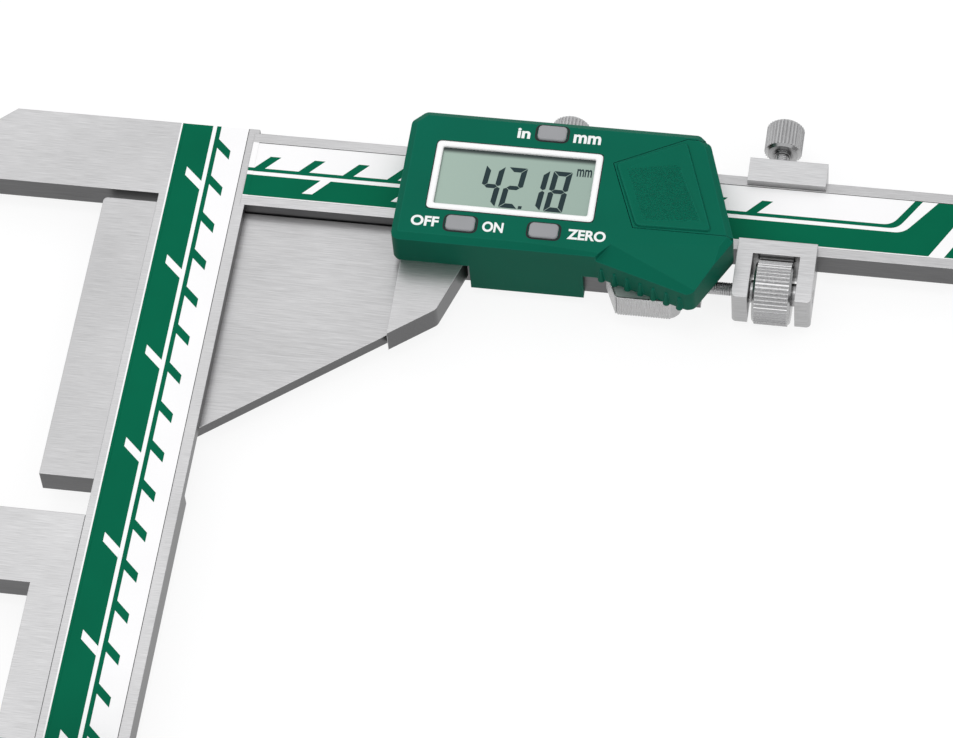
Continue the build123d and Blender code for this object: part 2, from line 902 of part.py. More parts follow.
def button(place):
    """A cap in its hole, a lip behind the wall, and a stem down to its switch."""
    with BuildPart() as key:
        with BuildSketch(Plane.XY.offset(housing_inside - button_lip)):
            with Locations(place):
                RectangleRounded(
                    *[size - 2 * slide_gap for size in button_size],
                    radius=button_round - slide_gap,
                )
        extrude(amount=front_wall + button_lip + button_proud)
        top = key.faces().sort_by(Axis.Z)[-1]
        fillet(top.edges(), radius=button_edge)
        with BuildSketch(Plane.XY.offset(housing_inside - button_lip)):
            with Locations(place):
                Rectangle(
                    button_size[0] + 2 * button_lip_width, button_size[1] - 2 * slide_gap
                )
        extrude(amount=button_lip)
        stem_bottom = board_top + switch_height + button_travel + slide_gap
        with BuildSketch(Plane.XY.offset(stem_bottom)):
            with Locations(place):
                Circle(stem_radius)
        extrude(amount=housing_inside - button_lip - stem_bottom)
    return key.part


def battery():
    with BuildPart() as cell:
        with BuildSketch(Plane.XY.offset(battery_bottom)):
            with Locations(battery_place):
                Circle(battery_radius)
        extrude(amount=battery_thick)
        chamfer(cell.edges().filter_by(GeomType.CIRCLE), length=battery_edge)
    return cell.part


def battery_contact():
    with BuildPart() as contact:
        with Locations((*battery_place, board_top)):
            Cylinder(
                battery_contact_radius,
                contact_thick,
                align=(Align.CENTER, Align.CENTER, Align.MIN),
            )
            Cone(
                battery_contact_radius / 2,
                battery_contact_radius / 4,
                contact_height,
                align=(Align.CENTER, Align.CENTER, Align.MIN),
            )
    return contact.part


# Fine adjustment: carriage, knurled nut and threaded rod
def carriage():
    grip_v = half_beam - carriage_grip
    edge_v = half_beam + slide_gap
    with BuildPart() as body:
        with BuildSketch(Plane.YZ.offset(carriage_start)):
            Polygon(
                (rail_top, back_low),
                (rail_top, carriage_front),
                (grip_v, carriage_front),
                (grip_v, beam_thick + slide_gap),
                (edge_v, beam_thick + slide_gap),
                (edge_v, -slide_gap),
                (-edge_v, -slide_gap),
                (-edge_v, beam_thick + slide_gap),
                (-grip_v, beam_thick + slide_gap),
                (-grip_v, carriage_front),
                (clevis_bottom, carriage_front),
                (clevis_bottom, back_low),
                align=None,
            )
        extrude(amount=carriage_length)
        # slot that holds the nut
        with BuildSketch(Plane.XY.offset(back_low)):
            with Locations((slot_middle, -grip_v - clevis_bridge)):
                Rectangle(
                    slot_end - slot_start,
                    half_beam - clevis_bottom,
                    align=(Align.CENTER, Align.MAX),
                )
        extrude(amount=carriage_front - back_low, mode=Mode.SUBTRACT)
        with Locations(Location((slot_middle, rod_v, rod_w), (0, 90, 0))):
            Hole(radius=nut_radius + stop_gap, depth=(slot_end - slot_start) / 2)
        with Locations(Location((carriage_end, rod_v, rod_w), (0, 90, 0))):
            Hole(radius=rod_radius + stop_gap, depth=carriage_length)
        lock_u = carriage_start + carriage_lock_u
        with Locations(Location((lock_u, rail_top, lock_w), (-90, 0, 0))):
            Hole(radius=lock_screw_radius + thread_gap, depth=rail_top - half_beam)
        feet = body.edges().filter_by(Axis.Z).sort_by(Axis.Y)
        outer = [feet[0:4].sort_by(Axis.X)[i] for i in (0, -1)]
        fillet(outer, radius=clevis_round)
    return body.part


def adjust_nut():
    length = slot_end - slot_start - 2 * nut_side_gap
    with BuildPart() as nut:
        with BuildSketch(Plane.YZ.offset(slot_middle)):
            with Locations((rod_v, rod_w)):
                Circle(nut_hub_radius)
                Circle(rod_radius + thread_gap, mode=Mode.SUBTRACT)
        extrude(amount=length / 2, both=True)
        with BuildSketch(Plane.YZ.offset(slot_middle)):
            with Locations((rod_v, rod_w)):
                Circle(nut_radius)
                Circle(rod_radius + thread_gap, mode=Mode.SUBTRACT)
        extrude(amount=length / 2 - nut_hub_length, both=True)
        rims = nut.edges().filter_by(GeomType.CIRCLE)
        chamfer(
            [edge for edge in rims if abs(edge.radius - nut_radius) < fit_gap],
            length=nut_edge,
        )
    return nut.part


def adjust_rod():
    with BuildPart() as rod:
        with BuildSketch(Plane.YZ.offset(rod_start)):
            with Locations((rod_v, rod_w)):
                Circle(rod_radius)
        extrude(amount=carriage_end - rod_end_gap - rod_start)
        end = rod.faces().sort_by(Axis.X)[-1]
        chamfer(end.edges(), length=rod_radius / 4)
    return rod.part


def thumb_screw(place_u, neck, tip_v):
    """A knurled lock screw along the beam's width, its tip on tip_v."""
    head_low = rail_top + neck
    with BuildPart() as screw:
        with BuildSketch(Plane.XZ.offset(-tip_v)):
            with Locations((place_u, lock_w)):
                Circle(lock_screw_radius)
        extrude(amount=-(head_low - tip_v))
        with BuildSketch(Plane.XZ.offset(-head_low)):
            with Locations((place_u, lock_w)):
                Circle(lock_head_radius)
        extrude(amount=-lock_head_length)
        rims = screw.edges().filter_by(GeomType.CIRCLE)
        chamfer(
            [edge for edge in rims if abs(edge.radius - lock_head_radius) < fit_gap],
            length=lock_head_edge,
        )
    return screw.part


# Everything that belongs to the beams
save(thickness_beam(), "thickness_beam")
save(addendum_beam(), "addendum_beam")
save(thickness_scale(), "thickness_scale")
save(addendum_scale(), "addendum_scale")
save(dowels(), "beam_dowels")
save(
    copies(
        slotted_screw(recess_floor - small_head_depth - fit_gap),
        into_back(lap_screw_points, small_head_depth),
    ),
    "beam_joint_screws",
)
for name, points in (
    ("thickness_stop_screws", thickness_stop_points),
    ("addendum_stop_screws", addendum_stop_points),
):
    screw = slotted_screw(stop_screw_depth - fit_gap, stop_head_height)
    save(copies(screw, into_front(points, beam_thick)), name)

# The tongue, on the addendum slider
save(tongue().moved(addendum_place), "tongue")
save(
    copies(
        slotted_screw(tongue_thick + tongue_screw_bite - small_head_depth - fit_gap),
        into_back(tongue_screw_places, small_head_depth),
    ).moved(addendum_place),
    "tongue_screws",
)

# The two sliders, each with its display and fine adjustment
housing_screw_length = frame_front - back_low - small_head_depth + post_hole - stop_gap
for scale, place, frame in (
    ("addendum", addendum_place, addendum_frame),
    ("thickness", thickness_place, thickness_frame),
):
    save(frame().moved(place), f"{scale}_slider")
    for name, make in (
        ("gib", gib),
        ("gib_screws", gib_screws),
        ("thumb_rest", thumb_rest),
        ("display_housing", display_housing),
        ("battery_cover", battery_cover),
        ("display_base", display_base),
        ("circuit_board", circuit_board),
        ("bezel", bezel),
        ("lcd", lcd),
        ("lcd_holder", lcd_holder),
        ("battery", battery),
        ("battery_contact", battery_contact),
        ("carriage", carriage),
        ("adjust_nut", adjust_nut),
        ("adjust_rod", adjust_rod),
    ):
        save(make().moved(place), f"{scale}_{name}")
    for name, spot in button_places.items():
        save(button(spot).moved(place), f"{scale}_{name}_button")
    save(
        copies(
            slotted_screw(housing_screw_length),
            into_back(screw_places, back_low + small_head_depth),
        ).moved(place),
        f"{scale}_housing_screws",
    )
    save(
        thumb_screw(slider_lock_u, slider_lock_neck, gib_top + stop_gap).moved(place),
        f"{scale}_lock_screw",
    )
    carriage_lock = thumb_screw(
        carriage_start + carriage_lock_u, carriage_lock_neck, half_beam + stop_gap
    )
    save(carriage_lock.moved(place), f"{scale}_carriage_lock_screw")
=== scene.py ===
import math

import bpy
from mathutils import Matrix, Vector


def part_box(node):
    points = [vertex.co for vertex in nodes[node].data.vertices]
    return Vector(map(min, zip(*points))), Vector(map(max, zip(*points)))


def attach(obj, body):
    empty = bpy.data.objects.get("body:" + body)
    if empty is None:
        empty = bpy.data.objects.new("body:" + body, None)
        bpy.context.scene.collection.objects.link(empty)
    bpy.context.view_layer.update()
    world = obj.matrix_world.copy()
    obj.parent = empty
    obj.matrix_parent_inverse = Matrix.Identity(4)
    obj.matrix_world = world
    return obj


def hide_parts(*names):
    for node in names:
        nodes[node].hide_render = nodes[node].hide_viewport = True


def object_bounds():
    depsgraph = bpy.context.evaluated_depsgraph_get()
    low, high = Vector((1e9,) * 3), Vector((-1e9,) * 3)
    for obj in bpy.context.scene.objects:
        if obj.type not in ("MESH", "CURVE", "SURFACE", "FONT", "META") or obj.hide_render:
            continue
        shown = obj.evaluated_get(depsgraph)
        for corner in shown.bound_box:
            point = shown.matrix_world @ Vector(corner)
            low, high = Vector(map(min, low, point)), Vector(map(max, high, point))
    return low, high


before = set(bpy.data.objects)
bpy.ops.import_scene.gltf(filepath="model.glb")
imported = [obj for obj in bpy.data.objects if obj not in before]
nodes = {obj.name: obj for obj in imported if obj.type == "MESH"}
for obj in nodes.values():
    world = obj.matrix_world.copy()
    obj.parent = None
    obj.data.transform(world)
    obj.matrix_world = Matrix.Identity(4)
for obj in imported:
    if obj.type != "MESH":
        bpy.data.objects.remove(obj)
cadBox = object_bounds()
scene = bpy.context.scene
mm = 0.001
modules = ("addendum", "thickness")

# where the two sliders stand: u along the beam, v across it from its centre, w up from its back
gibEndGap = 1.0 * mm
beamLow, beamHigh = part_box("addendum_beam")
scaleLow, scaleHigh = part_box("thickness_scale")
beamMiddle = (beamLow.y + beamHigh.y) / 2
scaleMiddle = (scaleLow.x + scaleHigh.x) / 2
downTheBeam = Matrix.Rotation(-math.pi / 2, 4, "Z")
modulePlace = {
    "addendum": Matrix.Translation((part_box("addendum_gib")[0].x - gibEndGap, beamMiddle, 0)),
    "thickness": Matrix.Translation((scaleMiddle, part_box("thickness_gib")[1].y + gibEndGap, 0)) @ downTheBeam,
}


def moduleBox(name):
    low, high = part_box("addendum_" + name)
    back = modulePlace["addendum"].inverted()
    return back @ low, back @ high


# node trees
def addNode(tree, kind, inputs=None, **attributes):
    node = tree.nodes.new(kind)
    for key, value in attributes.items():
        setattr(node, key, value)
    for key, value in (inputs or {}).items():
        if isinstance(value, bpy.types.NodeSocket):
            tree.links.new(value, node.inputs[key])
        else:
            node.inputs[key].default_value = value
    return node


def calculate(tree, operation, *values):
    return addNode(tree, "ShaderNodeMath", dict(enumerate(values)), operation=operation).outputs[0]


def mapRange(tree, value, start, end, newStart=0.0, newEnd=1.0, curve="LINEAR"):
    # start to end becomes newStart to newEnd, and what lies outside stays at these ends
    inputs = {"Value": value, "From Min": start, "From Max": end, "To Min": newStart, "To Max": newEnd}
    return addNode(tree, "ShaderNodeMapRange", inputs, interpolation_type=curve).outputs[0]


def mixColours(tree, share, first, second):
    return addNode(tree, "ShaderNodeMix", {0: share, 6: first, 7: second}, data_type="RGBA").outputs[2]


def shaded(tree, colour, factor):
    return addNode(tree, "ShaderNodeVectorMath", {0: colour, 1: factor}, operation="MULTIPLY").outputs[0]


def noise(tree, place, scale, detail, roughness=0.5):
    inputs = {"Vector": place, "Scale": scale, "Detail": detail, "Roughness": roughness}
    return addNode(tree, "ShaderNodeTexNoise", inputs).outputs["Fac"]


def separate(tree, vector):
    return addNode(tree, "ShaderNodeSeparateXYZ", {0: vector}).outputs


def combine(tree, parts):
    return addNode(tree, "ShaderNodeCombineXYZ", parts).outputs[0]


# camera
cameraLook = {
    "place": (0.20335, -0.57592, 0.83318),
    "forward": (-0.12759, 0.53359, -0.83606),
    "up": (-0.09359, 0.83271, 0.54574),
    "lens": 173.53,
    "sensor": 36.0,
    "clip": (0.05, 20),
}


def makeCamera(look):
    data = bpy.data.cameras.new("photoCamera")
    data.lens = look["lens"]
    data.sensor_width = look["sensor"]
    data.sensor_fit = "HORIZONTAL"
    data.clip_start, data.clip_end = look["clip"]
    camera = bpy.data.objects.new("photoCamera", data)
    scene.collection.objects.link(camera)
    back = -Vector(look["forward"]).normalized()
    right = Vector(look["up"]).cross(back).normalized()
    turn = Matrix((right, back.cross(right), back)).transposed().to_4x4()
    camera.matrix_world = Matrix.Translation(look["place"]) @ turn
    scene.camera = camera


# lamps, world, floor
lampLooks = {
    "overheadLamp": {"power": 3.0, "size": 1.6, "place": (-0.75, 0.35, 1.15)},
    "fillLamp": {"power": 1.0, "size": 1.2, "place": (0.9, -0.5, 0.9)},
    "zenithLamp": {"power": 1.3, "size": 0.5, "place": (0.06, -0.12, 1.3)},
}
skyLook = {"top": (0.93, 0.93, 0.94, 1), "side": (0.50, 0.50, 0.51, 1), "span": (-0.1, 0.8)}
floorLook = {
    "colour": (0.96, 0.96, 0.96),
    "rough": 0.9,
    "specular": 0.0,
    "glow": 0.8,
    "glowStrength": 1.04,
    "half": 4.0,
    "gap": 0.2 * mm,  # under the lowest piece
}


def areaLamp(name, look, aim):
    data = bpy.data.lights.new(name, "AREA")
    data.energy, data.size = look["power"], look["size"]
    lamp = bpy.data.objects.new(name, data)
    scene.collection.objects.link(lamp)
    turn = (aim - Vector(look["place"])).to_track_quat("-Z", "Y").to_matrix().to_4x4()
    lamp.matrix_world = Matrix.Translation(look["place"]) @ turn


def makeWorld(look):
    world = bpy.data.worlds.new("softSky")
    world.use_nodes = True
    scene.world = world
    tree = world.node_tree
    height = separate(tree, addNode(tree, "ShaderNodeTexCoord").outputs["Generated"])["Z"]
    sky = mixColours(tree, mapRange(tree, height, *look["span"]), look["side"], look["top"])
    tree.links.new(sky, tree.nodes["Background"].inputs["Color"])


def makeFloor(look):
    half, height = look["half"], cadBox[0][2] - look["gap"]
    mesh = bpy.data.meshes.new("floor")
    corners = [(x * half, y * half, height) for x, y in ((-1, -1), (1, -1), (1, 1), (-1, 1))]
    mesh.from_pydata(corners, [], [(0, 1, 2, 3)])
    floor = bpy.data.objects.new("floor", mesh)
    scene.collection.objects.link(floor)
    material, tree, shader = startFinish("paleFloor", look)
    glow = addNode(tree, "ShaderNodeEmission", {"Color": (1, 1, 1, 1), "Strength": look["glowStrength"]})
    seen = addNode(tree, "ShaderNodeLightPath").outputs
    clear = calculate(tree, "MAXIMUM", seen["Is Camera Ray"], seen["Is Glossy Ray"])
    clear = calculate(tree, "MAXIMUM", clear, seen["Is Transmission Ray"])
    share = calculate(tree, "MULTIPLY", clear, look["glow"])
    both = addNode(tree, "ShaderNodeMixShader", {0: share, 1: shader.outputs[0], 2: glow.outputs[0]})
    tree.links.new(both.outputs[0], tree.nodes["Material Output"].inputs["Surface"])
    mesh.materials.append(material)


# finishes
def startFinish(name, look):
    material = bpy.data.materials.new(name)
    material.use_nodes = True
    tree = material.node_tree
    shader = tree.nodes["Principled BSDF"]
    shader.inputs["Base Color"].default_value = (*look["colour"], 1)
    shader.inputs["Roughness"].default_value = look["rough"]
    shader.inputs["Metallic"].default_value = look.get("metal", 0.0)
    shader.inputs["Specular IOR Level"].default_value = look.get("specular", 0.5)
    return material, tree, shader


def roundedEdges(tree, radius):
    return addNode(tree, "ShaderNodeBevel", {"Radius": radius}, samples=4).outputs[0]


def unevenGloss(tree, shader, value, look):
    rough, spread = look["rough"], look["roughSpread"]
    gloss = mapRange(tree, value, 0.0, 1.0, rough - spread, rough + spread)
    tree.links.new(gloss, shader.inputs["Roughness"])


edgeHighlightTurn = (0.995, 0.9)  # cosine between both normals, from where the painted edge highlight starts to where it is full


def litEdges(tree, colour, rounded, look):
    # the rounded normal leaves the face's own near an edge, where a painted highlight lightens the colour
    flat = addNode(tree, "ShaderNodeNewGeometry").outputs["Normal"]
    same = addNode(tree, "ShaderNodeVectorMath", {0: rounded, 1: flat}, operation="DOT_PRODUCT")
    edge = mapRange(tree, same.outputs["Value"], *edgeHighlightTurn, 0.0, look["edgeShare"])
    return mixColours(tree, edge, colour, (*look["edgeTone"], 1))


steelLook = {
    "colour": (0.60, 0.598, 0.60),
    # side is the steel's colour with painted shade, for upright faces; tops keep the lit colour
    "side": (0.145, 0.145, 0.147),
    "topSpan": (0.2, 0.8),  # of the normal's height, from the side colour with painted shade to the lit top colour
    "rough": 0.36,
    "roughSpread": 0.10,
    "metal": 1.0,
    "alongLine": 170.0,
    "acrossLine": 6500.0,
    "lineRoughness": 0.65,
    "cloudScale": 35.0,
    "cloudShare": 0.35,
    "toneSpan": (0.375, 0.975),
    "toneSpread": 0.34,
    "bump": 0.10,
    "bumpDepth": 0.02 * mm,
    "edge": 0.22 * mm,
    "edgeTone": (0.92, 0.92, 0.92),
    "edgeShare": 0.55,
    "grooveSpan": (0.4, 0.92),
}


def brushedSteel(name, look, along):
    material, tree, shader = startFinish(name, look)
    coordinates = addNode(tree, "ShaderNodeTexCoord").outputs
    stretch = [look["acrossLine"]] * 3
    stretch["XYZ".index(along)] = look["alongLine"]
    stretched = addNode(tree, "ShaderNodeMapping", {"Vector": coordinates["Object"], "Scale": stretch})
    lines = noise(tree, stretched.outputs[0], 1.0, 4.0, look["lineRoughness"])
    clouds = noise(tree, coordinates["Object"], look["cloudScale"], 2.0)
    # painted shade: upright faces darken towards the side colour
    level = calculate(tree, "ABSOLUTE", separate(tree, coordinates["Normal"])["Z"])
    litTopShare = mapRange(tree, level, *look["topSpan"])
    tone = mixColours(tree, litTopShare, (*look["side"], 1), (*look["colour"], 1))
    both = calculate(tree, "MULTIPLY_ADD", clouds, look["cloudShare"], lines)
    spread = look["toneSpread"]
    colour = shaded(tree, tone, mapRange(tree, both, *look["toneSpan"], 1 - spread, 1 + spread / 2))
    if look.get("groove"):
        # painted shade: grooves between ridges and threads are darkened where they hold less light
        inputs = {"Distance": look["groove"]}
        seen = addNode(tree, "ShaderNodeAmbientOcclusion", inputs, samples=6, only_local=True)
        light = mapRange(tree, seen.outputs["AO"], *look["grooveSpan"], look["grooveTone"])
        colour = shaded(tree, colour, light)
    rounded = roundedEdges(tree, look["edge"])
    tree.links.new(litEdges(tree, colour, rounded, look), shader.inputs["Base Color"])
    unevenGloss(tree, shader, lines, look)
    inputs = {"Strength": look["bump"], "Distance": look["bumpDepth"], "Height": lines, "Normal": rounded}
    tree.links.new(addNode(tree, "ShaderNodeBump", inputs).outputs[0], shader.inputs["Normal"])
    return material


plasticLook = {
    "sideTone": 1.0,
    "topSpan": (0.35, 0.97),
    "cloudScale": 60.0,
    "cloudSpan": (0.3, 0.7),
    "roughSpread": 0.05,
    "bumpDepth": 0.03 * mm,
}


def grainedFinish(name, look):
    # moulded plastic or paint: fine grain, faint cloudiness and softened edges
    material, tree, shader = startFinish(name, look)
    coordinates = addNode(tree, "ShaderNodeTexCoord").outputs
    grain = noise(tree, coordinates["Object"], look["grain"], 3.0)
    clouds = noise(tree, coordinates["Object"], look["cloudScale"], 3.0)
    # painted shade: upright sides take a darker copy of the colour, tops the full colour
    litTopShare = mapRange(tree, separate(tree, coordinates["Normal"])["Z"], *look["topSpan"])
    side = [part * look["sideTone"] for part in look["colour"]]
    tone = mixColours(tree, litTopShare, (*side, 1), (*look["colour"], 1))
    spread = look["toneSpread"]
    colour = shaded(tree, tone, mapRange(tree, clouds, *look["cloudSpan"], 1 - spread, 1 + spread))
    inputs = {"Strength": look["bump"], "Distance": look["bumpDepth"], "Height": grain}
    if look.get("edge"):
        inputs["Normal"] = roundedEdges(tree, look["edge"])
    # painted highlight along the edges
    if look.get("edgeTone"):
        colour = litEdges(tree, colour, inputs["Normal"], look)
    tree.links.new(colour, shader.inputs["Base Color"])
    tree.links.new(addNode(tree, "ShaderNodeBump", inputs).outputs[0], shader.inputs["Normal"])
    unevenGloss(tree, shader, clouds, look)
    return material


plasticLooks = {
    # housingGreen: painted shade darkens its upright sides, and a painted highlight lightens its edges
    "housingGreen": {
        "colour": (0.0, 0.121, 0.072), "sideTone": 0.70, "rough": 0.48, "specular": 0.07, "grain": 5200.0,
        "bump": 0.16, "toneSpread": 0.05, "edge": 0.45 * mm, "edgeTone": (0.01, 0.20, 0.135),
        "edgeShare": 0.6,
    },
    "labelGreen": {
        "colour": (0.0, 0.127, 0.063), "rough": 0.42, "specular": 0.04, "grain": 9000.0, "bump": 0.04,
        "toneSpread": 0.06,
    },
    "labelWhite": {
        "colour": (0.95, 0.945, 0.945), "rough": 0.36, "specular": 0.3, "grain": 9000.0, "bump": 0.04,
        "toneSpread": 0.015,
    },
    "buttonGrey": {
        "colour": (0.31, 0.315, 0.325), "rough": 0.45, "specular": 0.3, "grain": 8000.0, "bump": 0.12,
        "toneSpread": 0.05, "edge": 0.3 * mm,
    },
    "bezelWhite": {
        "colour": (0.96, 0.96, 0.955), "rough": 0.3, "grain": 7000.0, "bump": 0.03, "toneSpread": 0.01,
        "edge": 0.25 * mm,
    },
    # black of the inner parts, also used for painted shadow lines and rims
    "innerBlack": {
        "colour": (0.02, 0.02, 0.022), "rough": 0.6, "specular": 0.2, "grain": 5000.0, "bump": 0.1,
        "toneSpread": 0.1,
    },
    "boardGreen": {
        "colour": (0.01, 0.09, 0.03), "rough": 0.4, "grain": 2500.0, "bump": 0.15, "toneSpread": 0.1,
    },
    "pebbleGreen": {
        "colour": (0.0, 0.13, 0.08), "rough": 0.42, "specular": 0.14, "grain": 5200.0, "bump": 0.1,
        "toneSpread": 0.05,
    },
    "wordWhite": {
        "colour": (0.88, 0.90, 0.89), "rough": 0.5, "grain": 9000.0, "bump": 0.03, "toneSpread": 0.01,
    },
    "digitInk": {
        "colour": (0.016, 0.036, 0.040), "rough": 0.4, "specular": 0.15, "grain": 9000.0, "bump": 0.02,
        "toneSpread": 0.08,
    },
}
steelLooks = {
    "beamSteel": {},
    # a lighter copy of the steel for the carriage and thumb rest, with painted light on faces the lamps leave
    # dim
    "paintedLitSteel": {"colour": (0.70, 0.70, 0.702), "side": (0.47, 0.47, 0.472)},
    "tongueSteel": {"colour": (0.565, 0.563, 0.565)},
    "knurledSteel": {
        "colour": (0.52, 0.52, 0.522), "side": (0.46, 0.46, 0.462), "rough": 0.24, "bump": 0.05,
        "edge": 0.08 * mm, "groove": 0.9 * mm, "grooveTone": 0.10, "along": "Y",
    },
    "screwSteel": {
        "colour": (0.58, 0.58, 0.585), "side": (0.45, 0.45, 0.455), "rough": 0.3,
        "edge": 0.1 * mm, "groove": 0.4 * mm, "grooveTone": 0.20, "along": "Z",
    },
    "gibBrass": {"colour": (0.72, 0.50, 0.22), "side": (0.55, 0.38, 0.16), "rough": 0.33},
    "cellSteel": {"colour": (0.74, 0.74, 0.76), "side": (0.6, 0.6, 0.62), "rough": 0.22},
}
glassLook = {
    "colour": (0.35, 0.46, 0.395),
    "low": (0.315, 0.415, 0.36),
    "fall": 34 * mm,  # from the left edge, over which the one turns into the other, a painted shading that darkens the glass to the right
    "shade": (0.03, 0.045, 0.042),
    "rough": 0.16,
    "specular": 0.35,
    "shadeDepth": 1.7 * mm,
    "shadeEdge": 0.4 * mm,
    "besideShare": 0.6,
}


def displayGlass(name, look, place, top, left):
    # painted shadow: the glass darkens under the frame's upper and left edge
    material, tree, shader = startFinish(name, look)
    back = place.inverted()
    coordinates = addNode(tree, "ShaderNodeTexCoord").outputs["Object"]
    inputs = {"Vector": coordinates, "Location": back.to_translation(), "Rotation": back.to_euler()}
    local = separate(tree, addNode(tree, "ShaderNodeMapping", inputs).outputs[0])
    depth = look["shadeDepth"]
    under = mapRange(tree, local["Y"], top - depth, top - depth / 4, curve="SMOOTHSTEP")
    beside = mapRange(tree, local["X"], left + look["shadeEdge"], left, 0.0, look["besideShare"])
    dark = calculate(tree, "MAXIMUM", under, beside)
    fall = mapRange(tree, local["X"], left, left + look["fall"])
    field = mixColours(tree, fall, (*look["colour"], 1), (*look["low"], 1))
    tree.links.new(mixColours(tree, dark, field, (*look["shade"], 1)), shader.inputs["Base Color"])
    return material


finishes = {name: grainedFinish(name, {**plasticLook, **look}) for name, look in plasticLooks.items()}
for name, look in steelLooks.items():
    finishes[name] = brushedSteel(name, {**steelLook, **look}, look.get("along", "X"))
windowLow, windowHigh = moduleBox("bezel")
bezelBorder = 1.45 * mm
for module in modules:
    top, left = windowHigh.y - bezelBorder, windowLow.x + bezelBorder
    finishes[module + "Glass"] = displayGlass(module + "Glass", glassLook, modulePlace[module], top, left)
print("finishes made")

nodeFinish = {
    "beam": "beamSteel", "slider": "beamSteel", "carriage": "paintedLitSteel", "tongue": "tongueSteel",
    "scale": "labelWhite", "display_housing": "housingGreen", "battery_cover": "housingGreen",
    "unit_button": "buttonGrey", "power_button": "buttonGrey", "zero_button": "buttonGrey",
    "bezel": "bezelWhite", "gib": "gibBrass", "circuit_board": "boardGreen", "display_base": "innerBlack",
    "lcd_holder": "innerBlack", "battery": "cellSteel", "adjust_nut": "knurledSteel",
    "lock_screw": "knurledSteel", "carriage_lock_screw": "knurledSteel", "thumb_rest": "knurledSteel",
}
for name, piece in nodes.items():
    module, _, part = name.partition("_")
    part = part if module in modules else name
    finish = finishes[module + "Glass"] if part == "lcd" else finishes[nodeFinish.get(part, "screwSteel")]
    if not piece.material_slots:
        piece.data.materials.append(finish)
    for materialSlot in piece.material_slots:
        materialSlot.material = finish


# pieces made of flat outlines, rows and rings
def finishPiece(mesh, name, place, finish, body, smooth=False):
    mesh.transform(place)
    mesh.materials.clear()
    mesh.materials.append(finish)
    for polygon in mesh.polygons:
        polygon.use_smooth = smooth
        polygon.material_index = 0
    mesh.name = name
    piece = bpy.data.objects.new(name, mesh)
    scene.collection.objects.link(piece)
    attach(piece, body)
    return piece


def sliderPiece(mesh, module, title, finish):
    place, body = modulePlace[module], module + "_slider"
    return finishPiece(mesh, module + title, place, finishes[finish], body)


def newMesh(name, corners, faces):
    mesh = bpy.data.meshes.new(name)
    mesh.from_pydata(corners, [], faces)
    return mesh


def prisms(outlines, low, high):
    # each outline is a list of (u, v) corners, counter-clockwise
    corners, faces = [], []
    for outline in outlines:
        start, count = len(corners), len(outline)
        corners += atHeight(outline, low) + atHeight(outline, high)
        faces.append([start + i for i in reversed(range(count))])
        faces.append([start + count + i for i in range(count)])
        for i in range(count):
            j = (i + 1) % count
            faces.append([start + i, start + j, start + count + j, start + count + i])
    return newMesh("prisms", corners, faces)


def atHeight(loop, height):
    return [(u, v, height) for u, v in loop]


def skin(loops, closed=False):
    # loops of (u, v, w) points with equal counts, joined in turn, the last one to the first if closed
    count = len(loops[0])
    corners = [point for loop in loops for point in loop]
    faces = []
    for k in range(len(loops) if closed else len(loops) - 1):
        n = (k + 1) % len(loops)
        for i in range(count):
            j = (i + 1) % count
            faces.append([k * count + i, k * count + j, n * count + j, n * count + i])
    if not closed:
        faces.append(list(reversed(range(count))))
        faces.append([(len(loops) - 1) * count + i for i in range(count)])
    return newMesh("skin", corners, faces)


def turnedLoop(radius, height, count):
    turns = [2 * math.pi * i / count for i in range(count)]
    return [(radius * math.cos(turn), radius * math.sin(turn), height) for turn in turns]


def lathe(profile, count):
    # profile of (radius, height) points turned round Z, closed at both ends
    return skin([turnedLoop(radius, height, count) for radius, height in profile])


def easedOutline(corners, rounds, steps):
    # each corner named in rounds becomes a curve that starts and ends at that distance from it
    outline = []
    for i, corner in enumerate(corners):
        if i not in rounds:
            outline.append(corner)
            continue
        corner = Vector(corner)
        before = (Vector(corners[i - 1]) - corner).normalized()
        after = (Vector(corners[(i + 1) % len(corners)]) - corner).normalized()
        for k in range(steps + 1):
            share = k / steps
            first, last = corner + before * rounds[i] * (1 - share), corner + after * rounds[i] * share
            outline.append(tuple(first.lerp(last, share)))
    return outline


def roundedLoop(corners, radius, steps):
    return easedOutline(corners, {i: radius for i in range(len(corners))}, steps)


def boxLoop(low, high, grow, radius, steps):
    corners = [
        (low.x - grow, low.y - grow), (high.x + grow, low.y - grow),
        (high.x + grow, high.y + grow), (low.x - grow, high.y + grow),
    ]
    return roundedLoop(corners, radius, steps)


def joinMeshes(parts):
    # several meshes as one
    corners, faces = [], []
    for part in parts:
        start = len(corners)
        corners += [tuple(vertex.co) for vertex in part.vertices]
        faces += [[start + index for index in polygon.vertices] for polygon in part.polygons]
    return newMesh("joined", corners, faces)


# trees for what repeats
socketKinds = {
    "Geometry": "NodeSocketGeometry", "Material": "NodeSocketMaterial",
    "Count": "NodeSocketInt", "Seed": "NodeSocketInt",
}


def newTree(name, *sizes):
    tree = bpy.data.node_groups.new(name, "GeometryNodeTree")
    for title in ("Geometry", *sizes, "Material"):
        kind = socketKinds.get(title, "NodeSocketFloat")
        tree.interface.new_socket(title, in_out="INPUT", socket_type=kind)
    tree.interface.new_socket("Geometry", in_out="OUTPUT", socket_type="NodeSocketGeometry")
    return tree, addNode(tree, "NodeGroupInput").outputs


def endTree(tree, instances, given):
    whole = addNode(tree, "GeometryNodeRealizeInstances", {0: instances})
    inputs = {"Geometry": whole.outputs[0], "Material": given["Material"]}
    painted = addNode(tree, "GeometryNodeSetMaterial", inputs)
    addNode(tree, "NodeGroupOutput", {0: painted.outputs[0]})
    return tree


def copied(tree, points, piece, **inputs):
    inputs = {"Points": points, "Instance": piece, **inputs}
    return addNode(tree, "GeometryNodeInstanceOnPoints", inputs).outputs[0]


def rowAlongX(tree, given, piece):
    step = combine(tree, {0: given["Pitch"]})
    line = addNode(tree, "GeometryNodeMeshLine", {"Count": given["Count"], "Offset": step})
    return endTree(tree, copied(tree, line.outputs[0], piece), given)


